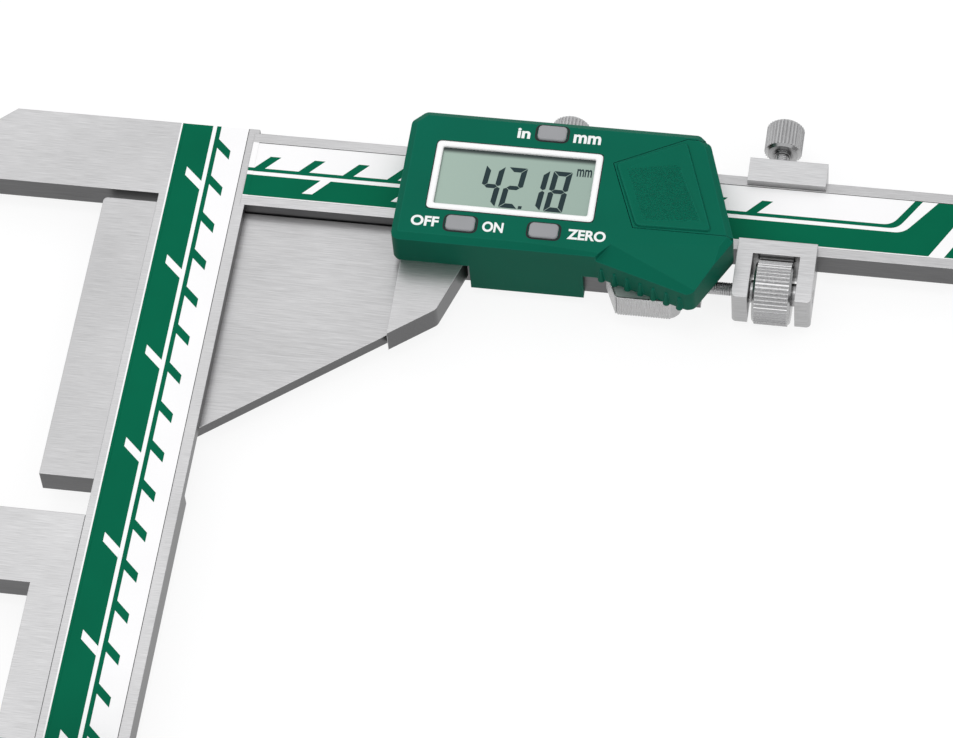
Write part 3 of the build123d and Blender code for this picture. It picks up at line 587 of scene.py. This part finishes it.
def tickRowTree():
    # a row of slanted bars, the first centred on the origin
    tree, given = newTree("tickRow", "Count", "Pitch", "Width", "Across", "Slant", "Height")
    size = combine(tree, {0: given["Width"], 1: given["Across"], 2: given["Height"]})
    bar = addNode(tree, "GeometryNodeMeshCube", {"Size": size})
    place = separate(tree, addNode(tree, "GeometryNodeInputPosition").outputs[0])
    share = calculate(tree, "DIVIDE", place["Y"], given["Across"])
    shift = combine(tree, {0: calculate(tree, "MULTIPLY", share, given["Slant"])})
    slanted = addNode(tree, "GeometryNodeSetPosition", {"Geometry": bar.outputs["Mesh"], "Offset": shift})
    return rowAlongX(tree, given, slanted.outputs[0])


def rodRowTree():
    # upright thin rods
    tree, given = newTree("rodRow", "Count", "Pitch", "Radius", "Length")
    inputs = {"Vertices": 6, "Radius": given["Radius"], "Depth": given["Length"]}
    rod = addNode(tree, "GeometryNodeMeshCylinder", inputs)
    return rowAlongX(tree, given, rod.outputs["Mesh"])


def knurlTree():
    # ridges round Z, on a circle
    tree, given = newTree("knurlRing", "Count", "Radius", "Ridge", "Length")
    circle = addNode(tree, "GeometryNodeMeshCircle", {"Vertices": given["Count"], "Radius": given["Radius"]})
    ridge = addNode(tree, "GeometryNodeMeshCone", {
        "Vertices": 4, "Radius Top": given["Ridge"], "Radius Bottom": given["Ridge"],
        "Depth": given["Length"],
    })
    drop = combine(tree, {2: calculate(tree, "MULTIPLY", given["Length"], -0.5)})
    inputs = {"Geometry": ridge.outputs["Mesh"], "Translation": drop}
    middle = addNode(tree, "GeometryNodeTransform", inputs)
    inputs = {"Vector": addNode(tree, "GeometryNodeInputPosition").outputs[0]}
    outward = addNode(tree, "FunctionNodeAlignRotationToVector", inputs, axis="X")
    ring = copied(tree, circle.outputs[0], middle.outputs[0], Rotation=outward.outputs[0])
    return endTree(tree, ring, given)


def pebbleTree():
    # low grains scattered over the face that the tree is given
    tree, given = newTree("pebbles", "Spacing", "Size", "Flatness", "Seed")
    inputs = {
        "Mesh": given["Geometry"], "Distance Min": given["Spacing"], "Density Max": 2.0e7,
        "Seed": given["Seed"],
    }
    spread = addNode(tree, "GeometryNodeDistributePointsOnFaces", inputs, distribute_method="POISSON")
    grain = addNode(tree, "GeometryNodeMeshIcoSphere", {"Radius": given["Size"], "Subdivisions": 1})
    inputs = {"Min": (0.7, 0.7, 1.0), "Max": (1.3, 1.3, 1.0), "Seed": given["Seed"]}
    some = addNode(tree, "FunctionNodeRandomValue", inputs, data_type="FLOAT_VECTOR")
    flatten = combine(tree, {0: 1.0, 1: 1.0, 2: given["Flatness"]})
    size = shaded(tree, some.outputs[0], flatten)
    field = copied(tree, spread.outputs["Points"], grain.outputs["Mesh"], Scale=size)
    return endTree(tree, field, given)


def runTree(tree, values, start=None):
    mesh = start or bpy.data.meshes.new("start")
    holder = bpy.data.objects.new("holder", mesh)
    scene.collection.objects.link(holder)
    modifier = holder.modifiers.new("nodes", "NODES")
    modifier.node_group = tree
    for item in tree.interface.items_tree:
        if item.in_out == "INPUT" and item.name in values:
            modifier[item.identifier] = values[item.name]
    bpy.context.view_layer.update()
    evaluated = holder.evaluated_get(bpy.context.evaluated_depsgraph_get())
    result = bpy.data.meshes.new_from_object(evaluated)
    holder.modifiers.remove(modifier)
    bpy.data.objects.remove(holder)
    return result


trees = {"ticks": tickRowTree(), "rods": rodRowTree(), "knurl": knurlTree(), "pebbles": pebbleTree()}

# printed scales: a green stripe, a white line, a thin green line and slanted marks
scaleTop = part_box("addendum_scale")[1].z
labelLook = {
    "ink": 0.012 * mm,
    "inkOver": 0.02 * mm,  # of the white marks over the green stripe
    "halfWidth": 7.2 * mm,
    "greenTop": {"addendum": -1.5 * mm, "thickness": -0.95 * mm},
    "lineTop": {"addendum": -0.5 * mm, "thickness": -0.05 * mm},
    "thinTop": {"addendum": 0.4 * mm, "thickness": 0.95 * mm},
    "greenEdge": -7.05 * mm,  # leaves a pale border, a painted highlight along the film's edge
    "wideGreen": -7.85 * mm,  # the upright label reaches further towards the jaws
    "wideWhite": -8.2 * mm,
    "wideOver": 0.05 * mm,  # of its green over the film
    "joint": 0.95 * mm,
    "jointOver": 0.35 * mm,
}
tailLook = {
    "thinTurn": (163.2 * mm, 161.9 * mm),  # at the thin line's lower and upper side
    "lineTurn": 164.6 * mm,
    "thinStripe": (168.1 * mm, 166.4 * mm),
    "whiteStripe": 171.5 * mm,
    "secondStripe": (170.6 * mm, 174.0 * mm),
    "secondRise": 0.57,
    "round": 2.0 * mm,
    "roundSteps": 6,
}
markLook = {
    "pitch": 10.0 * mm,
    "width": 2.4 * mm,
    "across": {"addendum": 3.35 * mm, "thickness": 3.15 * mm},
    "slant": {"addendum": 3.16 * mm, "thickness": 2.97 * mm},
    "first": {"addendum": 19.95 * mm, "thickness": -6.3 * mm},
    "count": {"addendum": 12, "thickness": 26},
    "whitePitch": {"addendum": 20.0 * mm, "thickness": 23.9 * mm},
    "whiteWidth": 2.3 * mm,
    "whiteAcross": 3.9 * mm,
    "whiteSlant": 3.6 * mm,
    "firstWhite": {"addendum": 35.3 * mm, "thickness": 5.5 * mm},
    "whiteCount": {"addendum": 5, "thickness": 10},
}


def labelPlace(module, height):
    # u runs along the beam, v across it
    if module == "addendum":
        return Matrix.Translation((0, beamMiddle, height))
    return Matrix.Translation((scaleMiddle, 0, height)) @ downTheBeam


def labelPiece(mesh, name, place, finish):
    finishPiece(mesh, name, place, finishes[finish], "root")


def bandMesh(start, end, bands, ink):
    outlines = [[(start, low), (end, low), (end, high), (start, high)] for low, high in bands]
    return prisms(outlines, 0, ink)


def addendumLabel(look, tail):
    start, end = (corner.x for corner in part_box("addendum_scale"))
    half, side, ink = look["halfWidth"], look["greenEdge"], look["ink"]
    film = (scaleHigh.x - scaleLow.x) / 2
    greenTop, lineTop, thinTop = (look[key]["addendum"] for key in ("greenTop", "lineTop", "thinTop"))
    turnLow, turnHigh = tail["thinTurn"]
    stripeLow, stripeHigh = tail["thinStripe"]
    first, second = tail["secondStripe"]
    lean = 2 * half * tail["secondRise"]
    wide = [
        (start, side), (first, side), (first + lean, half),
        (tail["whiteStripe"], half), (tail["lineTurn"], greenTop), (start, greenTop),
    ]
    last = [(second, side), (end, side), (end, half), (second + lean, half)]
    thin = [
        (start, lineTop), (turnLow, lineTop), (stripeLow, half),
        (stripeHigh, half), (turnHigh, thinTop), (start, thinTop),
    ]
    wide = easedOutline(wide, {4: tail["round"]}, tail["roundSteps"])
    thin = easedOutline(thin, {1: tail["round"], 4: tail["round"]}, tail["roundSteps"])
    place = labelPlace("addendum", scaleTop)
    labelPiece(prisms([wide, last, thin], 0, ink), "addendumScaleGreen", place, "labelGreen")
    # painted shadow: a dark line along the film's edge, where its recess casts shade
    labelPiece(bandMesh(start, end, [(half, film)], ink), "addendumScaleLine", place, "innerBlack")
    # the film runs on over the beam's end to the other beam
    place = labelPlace("addendum", beamHigh.z)
    jointSets = (
        ("addendumJointGreen", "labelGreen", ((side, greenTop), (lineTop, thinTop))),
        ("addendumJointWhite", "labelWhite", ((-film, side), (greenTop, lineTop), (thinTop, film))),
    )
    for name, finish, bands in jointSets:
        mesh = bandMesh(start - look["joint"], start + look["jointOver"], bands, ink)
        labelPiece(mesh, name, place, finish)


def thicknessLabel(look):
    film = (scaleHigh.x - scaleLow.x) / 2
    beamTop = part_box("thickness_beam")[1].z
    greenTop, lineTop, thinTop = (look[key]["thickness"] for key in ("greenTop", "lineTop", "thinTop"))
    bandSets = (
        ("thicknessScaleGreen", scaleTop, "labelGreen", ((-film, greenTop), (lineTop, thinTop))),
        # painted shadow: a dark line along the film's edge, where its recess casts shade
        ("thicknessScaleLine", scaleTop, "innerBlack", ((look["halfWidth"], film),)),
        ("thicknessEdgeGreen", beamTop, "labelGreen", ((look["wideGreen"], look["wideOver"] - film),)),
        # painted highlight: a white strip along the upright label's outer edge
        ("thicknessEdgeWhite", beamTop, "labelWhite", ((look["wideWhite"], look["wideGreen"]),)),
    )
    for name, height, finish, bands in bandSets:
        mesh = bandMesh(-scaleHigh.y, -scaleLow.y, bands, look["ink"])
        labelPiece(mesh, name, labelPlace("thickness", height), finish)


def markRow(name, module, first, base, values, finish):
    # first is where the first mark's low left corner lies, base its foot across the beam
    middle = first + (values["Width"] + values["Slant"]) / 2
    centre = (middle, base + values["Across"] / 2, values["Height"] / 2)
    mesh = runTree(trees["ticks"], {**values, "Material": finishes[finish]})
    labelPiece(mesh, name, labelPlace(module, scaleTop) @ Matrix.Translation(centre), finish)


def scaleMarks(module, look, label):
    values = {
        "Count": look["count"][module], "Pitch": look["pitch"], "Width": look["width"],
        "Across": look["across"][module], "Slant": look["slant"][module], "Height": label["ink"],
    }
    markRow(module + "Marks", module, look["first"][module], label["thinTop"][module], values, "labelGreen")
    across, slant = look["whiteAcross"], look["whiteSlant"]
    values = {
        "Count": look["whiteCount"][module], "Pitch": look["whitePitch"][module], "Width": look["whiteWidth"],
        "Across": across, "Slant": slant, "Height": label["ink"] + label["inkOver"],
    }
    first, base = look["firstWhite"][module] - slant, label["greenTop"][module] - across
    markRow(module + "WhiteMarks", module, first, base, values, "labelWhite")


addendumLabel(labelLook, tailLook)
thicknessLabel(labelLook)
for module in modules:
    scaleMarks(module, markLook, labelLook)
print("scales printed")

# words beside the buttons
buttonLip = 0.6 * mm  # the lip behind the wall is this much wider on each side
housingFront = moduleBox("display_housing")[1].z
wordLook = {
    "proud": 0.04 * mm,
    "boldness": 0.032,
    # word, button, side of it, width, height, gap to the button, foot under the button's middle
    "words": (
        ("in", "unit_button", -1, 2.85 * mm, 2.7 * mm, 1.4 * mm, 1.85 * mm),
        ("mm", "unit_button", 1, 6.1 * mm, 2.3 * mm, 1.4 * mm, 1.85 * mm),
        ("OFF", "power_button", -1, 6.1 * mm, 2.7 * mm, 1.4 * mm, 1.4 * mm),
        ("ON", "power_button", 1, 4.6 * mm, 2.7 * mm, 1.45 * mm, 1.5 * mm),
        ("ZERO", "zero_button", 1, 8.4 * mm, 2.7 * mm, 1.8 * mm, 1.5 * mm),
    ),
}


def wordMesh(text, width, height, thick, boldness):
    data = bpy.data.curves.new("word", "FONT")
    data.body = text
    data.extrude = 0.5  # any thickness will do, as the word is scaled below
    data.offset = boldness
    holder = bpy.data.objects.new("word", data)
    scene.collection.objects.link(holder)
    bpy.context.view_layer.update()
    mesh = bpy.data.meshes.new_from_object(holder.evaluated_get(bpy.context.evaluated_depsgraph_get()))
    bpy.data.objects.remove(holder)
    low = Vector([min(v.co[i] for v in mesh.vertices) for i in range(3)])
    high = Vector([max(v.co[i] for v in mesh.vertices) for i in range(3)])
    size = high - low
    scale = Matrix.Diagonal((width / size.x, height / size.y, thick / size.z, 1))
    mesh.transform(scale @ Matrix.Translation(-low))
    return mesh


def housingWords(module, look):
    parts = []
    for text, button, side, width, height, gap, drop in look["words"]:
        low, high = moduleBox(button)
        u = high.x - buttonLip + gap if side > 0 else low.x + buttonLip - gap - width
        mesh = wordMesh(text, width, height, 2 * look["proud"], look["boldness"])
        mesh.transform(Matrix.Translation((u, (low.y + high.y) / 2 - drop, housingFront - look["proud"])))
        parts.append(mesh)
    sliderPiece(joinMeshes(parts), module, "HousingWords", "wordWhite")


# display digits made of slanted segments
digitLook = {
    "height": 10.9 * mm,
    "width": 2.95 * mm,
    "stroke": 1.2 * mm,
    "gap": 0.05 * mm,
    "taper": 0.9,  # of the middle bar, against the stroke
    "inset": 0.7,  # of the outer corners at the middle
    "lean": 0.09,
    "pitch": 4.95 * mm,
    "point": 0.8 * mm,
    "pointGap": 0.15 * mm,
    "endGap": 4.7 * mm,  # from the last digit to the window's right side
    "rise": 0.6 * mm,  # of the digits over the window's lower side
    "thick": 0.03 * mm,
    "unitHeight": 2.05 * mm,
    "unitWidth": 3.3 * mm,
    "unitGap": 0.9 * mm,
    "unitBoldness": 0.02,
}
litSegments = {
    "0": "abcdef", "1": "bc", "2": "abdeg", "3": "abcdg", "4": "bcfg",
    "5": "acdfg", "6": "acdefg", "7": "abc", "8": "abcdefg", "9": "abcdfg",
}


def segmentOutline(segment, look):
    # mitred bars between the corners of a cell, and a bar with pointed ends in the middle
    stroke, gap, width = look["stroke"], look["gap"], look["width"]
    half = stroke / 2
    right, top = width + half, look["height"] / 2
    if segment == "g":
        thick, first, last = half * look["taper"], half + gap, width - gap - half
        return [(gap, 0), (first, -thick), (last, -thick), (width - gap, 0), (last, thick), (first, thick)]
    if segment in "ad":
        side = 1 if segment == "a" else -1
        points = [
            (-half + 2 * gap, top), (half + 2 * gap, top - stroke),
            (right - stroke - 2 * gap, top - stroke), (right - 2 * gap, top),
        ]
    else:
        side = 1 if segment in "bf" else -1
        points = [
            (right, top - 2 * gap), (right - stroke, top - stroke - 2 * gap), (right - stroke, half + gap),
            (right - half, 2 * gap), (right, half * look["inset"]),
        ]
        if segment in "ef":
            points = [(width - u, v) for u, v in reversed(points)]
    points = [(u, side * v) for u, v in points]
    return points if side > 0 else points[::-1]


def numberOutlines(reading, look):
    outlines, place = [], 0.0
    for sign in reading:
        if sign == ".":
            size, low = look["point"], -look["height"] / 2
            left = place - look["pitch"] + look["width"] + look["stroke"] / 2 + look["pointGap"]
            outlines.append([(left, low), (left + size, low), (left + size, low + size), (left, low + size)])
            continue
        for segment in litSegments[sign]:
            outlines.append([(u + place, v) for u, v in segmentOutline(segment, look)])
        place += look["pitch"]
    return [[(u + look["lean"] * v, v) for u, v in outline] for outline in outlines]


def displayDigits(module, reading, look):
    outlines = numberOutlines(reading, look)
    right = max(u for outline in outlines for u, _ in outline)
    end = windowHigh.x - bezelBorder - look["endGap"]
    middle = windowLow.y + bezelBorder + look["rise"] + look["height"] / 2
    glassTop = moduleBox("lcd")[1].z - look["thick"] / 2
    digits = prisms(outlines, 0, look["thick"])
    digits.transform(Matrix.Translation((end - right, middle, glassTop)))
    unit = wordMesh("mm", look["unitWidth"], look["unitHeight"], look["thick"], look["unitBoldness"])
    unitBase = middle + look["height"] / 2 - look["unitGap"]
    unit.transform(Matrix.Translation((end + look["unitGap"], unitBase, glassTop)))
    sliderPiece(joinMeshes([digits, unit]), module, "Reading", "digitInk")


# rounded bezel, with fillers in the corners of its opening, and dark rims of painted shadow round it and the
# buttons
rimLook = {
    "outerRound": 1.2 * mm,
    "innerRound": 0.5 * mm,
    "proud": 0.25 * mm,
    "crown": 0.3 * mm,
    "lip": 0.25 * mm,
    "slope": 0.2 * mm,
    "fillerDepth": 0.8 * mm,
    "fillerOver": 0.02 * mm,
    "rimWidth": 0.4 * mm,
    "rimRise": 0.05 * mm,
    "rimGap": {"button": 0.02 * mm, "bezel": 0.01 * mm},
    "buttonRound": 1.2 * mm,
    "steps": 6,
}


def roundBezel(module, look):
    steps, outerRound, innerRound = look["steps"], look["outerRound"], look["innerRound"]
    bottom, high = moduleBox("bezel")[0].z, housingFront + look["proud"]
    outer = boxLoop(windowLow, windowHigh, 0, outerRound, steps)
    crown = boxLoop(windowLow, windowHigh, -look["crown"], outerRound, steps)
    lip = boxLoop(windowLow, windowHigh, look["lip"] - bezelBorder, innerRound, steps)
    inner = boxLoop(windowLow, windowHigh, -bezelBorder, innerRound, steps)
    loops = [
        atHeight(outer, bottom), atHeight(outer, high - look["slope"]), atHeight(crown, high),
        atHeight(lip, high), atHeight(inner, high - look["slope"]), atHeight(inner, bottom),
    ]
    piece = sliderPiece(skin(loops, True), module, "RoundBezel", "bezelWhite")
    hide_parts(module + "_bezel")
    # what the rounded corners leave open
    square = boxLoop(windowLow, windowHigh, look["fillerOver"], 0, steps)
    fillers = []
    for i in range(4):
        first, last = i * (steps + 1), (i + 1) * (steps + 1)
        fillers.append([square[first]] + outer[first:last][::-1])
    mesh = prisms(fillers, housingFront - look["fillerDepth"], housingFront)
    sliderPiece(mesh, module, "CornerFillers", "housingGreen")


def rimMesh(low, high, width, gap, radius, look):
    outer = boxLoop(low, high, width, radius + width, look["steps"])
    inner = boxLoop(low, high, gap, radius, look["steps"])
    foot, top = housingFront - look["rimRise"], housingFront + look["rimRise"] / 2
    loops = [atHeight(outer, foot), atHeight(outer, top), atHeight(inner, top), atHeight(inner, foot)]
    return skin(loops, True)


def shadowRims(module, look):
    # painted shadow: black rings in the gaps round the buttons and the bezel
    rims = []
    lip = Vector((buttonLip, 0, 0))
    width, gaps = look["rimWidth"], look["rimGap"]
    for name in ("unit_button", "power_button", "zero_button"):
        low, high = moduleBox(name)
        rims.append(rimMesh(low + lip, high - lip, width, gaps["button"], look["buttonRound"], look))
    rims.append(rimMesh(windowLow, windowHigh, width / 2, gaps["bezel"], look["outerRound"], look))
    sliderPiece(joinMeshes(rims), module, "DarkRims", "innerBlack")


# raised frame on the battery cover that slopes down to a pebbled field
panelLook = {
    "crest": ((45.0, 3.4), (51.2, -12.3), (67.2, -12.0), (59.3, 10.5)),
    "field": ((47.1, 2.7), (52.4, -10.8), (64.9, -9.7), (58.4, 4.8)),
    "crestRise": 0.42 * mm,
    "fieldRise": 0.08 * mm,
    "footDepth": 0.05 * mm,
    "footRise": 0.01 * mm,
    "bevel": 0.35 * mm,
    "crestRound": 1.0 * mm,
    "fieldRound": 0.4 * mm,
    "steps": 5,
    "spacing": 0.30 * mm,
    "grain": 0.19 * mm,
    "grainInset": 1.2,  # of the field's edge, against the grain
    "flatness": 0.5,
    "seed": 7,
}


def grownCorners(corners, grow):
    # the corners of a convex outline with its sides moved out by grow
    moved = []
    for i, corner in enumerate(corners):
        before = (corner - corners[i - 1]).normalized()
        after = (corners[(i + 1) % len(corners)] - corner).normalized()
        outBefore, outAfter = Vector((before.y, -before.x)), Vector((after.y, -after.x))
        moved.append(corner + (outBefore + outAfter) * grow / (1 + outBefore.dot(outAfter)))
    return moved


def coverPanel(module, look):
    crest, field = ([Vector((u * mm, v * mm)) for u, v in look[key]] for key in ("crest", "field"))
    steps, front, bevel, crestRound = look["steps"], housingFront, look["bevel"], look["crestRound"]
    foot = roundedLoop(grownCorners(crest, bevel), crestRound + bevel, steps)
    top = roundedLoop(crest, crestRound, steps)
    shoulder = roundedLoop(grownCorners(crest, -bevel), crestRound, steps)
    low = roundedLoop(field, look["fieldRound"], steps)
    rise, fieldTop = front + look["crestRise"], front + look["fieldRise"]
    loops = [
        atHeight(foot, front - look["footDepth"]), atHeight(foot, front + look["footRise"]),
        atHeight(top, rise), atHeight(shoulder, rise), atHeight(low, fieldTop),
    ]
    place, body = modulePlace[module], module + "_battery_cover"
    finishPiece(skin(loops), module + "CoverPanel", place, finishes["housingGreen"], body)
    inner = grownCorners(field, -look["grain"] * look["grainInset"])
    base = newMesh("field", atHeight(inner, fieldTop + look["footRise"]), [(0, 1, 2, 3)])
    finish = finishes["pebbleGreen"]
    grains = runTree(trees["pebbles"], {
        "Spacing": look["spacing"], "Size": look["grain"], "Flatness": look["flatness"],
        "Seed": look["seed"], "Material": finish,
    }, base)
    finishPiece(grains, module + "CoverPebbles", place, finish, body, smooth=True)


# knurled nut and screws, threaded rods, thumb rest
nutLook = {
    "ridges": 50,
    "ridge": 0.38 * mm,
    "edge": 0.5 * mm,
    "sides": 96,
    "hub": 2.5 * mm,
    "hubLength": 0.8 * mm,
}
headLook = {
    "ridges": 34,
    "ridge": 0.36 * mm,
    "edge": 0.6 * mm,
    "sides": 72,
    "headLength": 7.5 * mm,
    "shank": 1.5 * mm,
    "shankSink": 0.1 * mm,
    "collar": 1.9 * mm,
    "collarLength": 0.7 * mm,
    "collarSink": 0.05 * mm,
    "collarSides": 32,
}
coreShare = 0.55  # of a ridge's size, between the ridges' middle and the core
threadLook = {"pitch": 0.5 * mm, "depth": 0.16 * mm, "sides": 20, "stepsPerTurn": 6}


def threadMesh(radius, length, look):
    # a screw thread along Z, from 0 to length
    rows = int(length / look["pitch"] * look["stepsPerTurn"]) + 1
    sides = look["sides"]
    loops = []
    for k in range(rows + 1):
        height = length * k / rows
        loop = []
        for i, (x, y, w) in enumerate(turnedLoop(1, height, sides)):
            turn = (height / look["pitch"] - i / sides) % 1
            reach = radius - look["depth"] * (1 - abs(2 * turn - 1))
            loop.append((reach * x, reach * y, w))
        loops.append(loop)
    return skin(loops)


def knurledRing(radius, length, look):
    # a chamfered core with ridges round it, centred on the origin along Z
    ridge, edge = look["ridge"], look["edge"]
    core, half = radius - ridge * coreShare, length / 2
    profile = [(core - edge, -half), (core, -half + edge), (core, half - edge), (core - edge, half)]
    ridges = runTree(trees["knurl"], {
        "Count": look["ridges"], "Radius": radius - ridge, "Ridge": ridge, "Length": length - 2 * edge,
        "Material": finishes["knurledSteel"],
    })
    return [lathe(profile, look["sides"]), ridges]


def alongU(u, v, w):
    # Z of a turned piece laid along u
    return Matrix.Translation((u, v, w)) @ Matrix.Rotation(math.pi / 2, 4, "Y")


def alongV(u, v, w):
    return Matrix.Translation((u, v, w)) @ Matrix.Rotation(-math.pi / 2, 4, "X")


def knurledPiece(parts, name, module, body):
    mesh = joinMeshes(parts)
    return finishPiece(mesh, name, modulePlace[module], finishes["knurledSteel"], body)


def adjustNut(module, look):
    low, high = moduleBox("adjust_nut")
    half, radius = (high.x - low.x) / 2, (high.y - low.y) / 2
    parts = knurledRing(radius, 2 * (half - look["hubLength"]), look)
    parts.append(lathe([(look["hub"], -half), (look["hub"], half)], look["sides"]))
    for part in parts:
        part.transform(alongU(*(low + high) / 2))
    piece = knurledPiece(parts, module + "KnurledNut", module, module + "_adjust_nut")
    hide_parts(module + "_adjust_nut")


def adjustRod(module, look):
    low, high = moduleBox("adjust_rod")
    mesh = threadMesh((high.y - low.y) / 2, high.x - low.x, look)
    mesh.transform(alongU(low.x, (low.y + high.y) / 2, (low.z + high.z) / 2))
    piece = sliderPiece(mesh, module, "ThreadedRod", "screwSteel")
    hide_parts(module + "_adjust_rod")


def lockScrew(module, name, look):
    low, high = moduleBox(name)
    radius = (high.x - low.x) / 2
    u, w = (low.x + high.x) / 2, (low.z + high.z) / 2
    headLow = high.y - look["headLength"]
    parts = knurledRing(radius, look["headLength"], look)
    for part in parts:
        part.transform(alongV(u, high.y - look["headLength"] / 2, w))
    if name == "carriage_lock_screw":
        length, wide = look["collarLength"], look["collar"]
        collar = lathe([(wide, 0), (wide, length + look["collarSink"])], look["collarSides"])
        collar.transform(alongV(u, headLow - length, w))
        parts.append(collar)
    shank = threadMesh(look["shank"], headLow - low.y + look["shankSink"], threadLook)
    shank.transform(alongV(u, low.y, w))
    parts.append(shank)
    body = f"{module}_{name}"
    piece = knurledPiece(parts, f"{module}{name.title().replace('_', '')}Knurled", module, body)
    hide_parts(body)


thumbLook = {
    "slope": 2.8 * mm,
    "chamfer": 1.5 * mm,
    "round": 0.9 * mm,
    "roundSteps": 5,
    "sink": 0.3 * mm,  # of the block behind the rods
    "rod": 0.3 * mm,
    "pitch": 0.56 * mm,
}


def thumbRest(module, look):
    low, high = moduleBox("thumb_rest")
    foot, slope, chamfer = low.y + look["sink"], look["slope"], look["chamfer"]
    outline = [
        (low.x, high.y), (low.x + slope, foot), (high.x - chamfer, foot),
        (high.x, foot + chamfer), (high.x, high.y),
    ]
    rounded = easedOutline(outline, {i: look["round"] for i in (1, 2, 3)}, look["roundSteps"])
    parts = [prisms([rounded], low.z, high.z)]
    bottomStart = (low.x + slope + look["round"] / 2, foot)
    bottomEnd = (high.x - chamfer - look["round"] / 2, foot)
    for start, end in ((bottomStart, bottomEnd), (outline[0], outline[1])):
        run = Vector(end) - Vector(start)
        rods = runTree(trees["rods"], {
            "Count": int(run.length / look["pitch"]) + 1, "Pitch": look["pitch"], "Radius": look["rod"],
            "Length": high.z - low.z, "Material": finishes["knurledSteel"],
        })
        turn = Matrix.Rotation(math.atan2(run.y, run.x), 4, "Z")
        rods.transform(Matrix.Translation((*start, (low.z + high.z) / 2)) @ turn)
        parts.append(rods)
    piece = sliderPiece(joinMeshes(parts), module, "ThumbRest", "paintedLitSteel")
    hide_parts(module + "_thumb_rest")


readings = {"addendum": "42.18", "thickness": "84.00"}
for module in modules:
    housingWords(module, wordLook)
    displayDigits(module, readings[module], digitLook)
    roundBezel(module, rimLook)
    shadowRims(module, rimLook)
    coverPanel(module, panelLook)
    adjustNut(module, nutLook)
    adjustRod(module, threadLook)
    lockScrew(module, "lock_screw", headLook)
    lockScrew(module, "carriage_lock_screw", headLook)
    thumbRest(module, thumbLook)
    print(module, "slider dressed")

makeCamera(cameraLook)
middle = (Vector(cadBox[0]) + Vector(cadBox[1])) / 2
for name, look in lampLooks.items():
    areaLamp(name, look, middle)
makeWorld(skyLook)
makeFloor(floorLook)
scene.view_settings.view_transform = "Standard"
print("stage set")
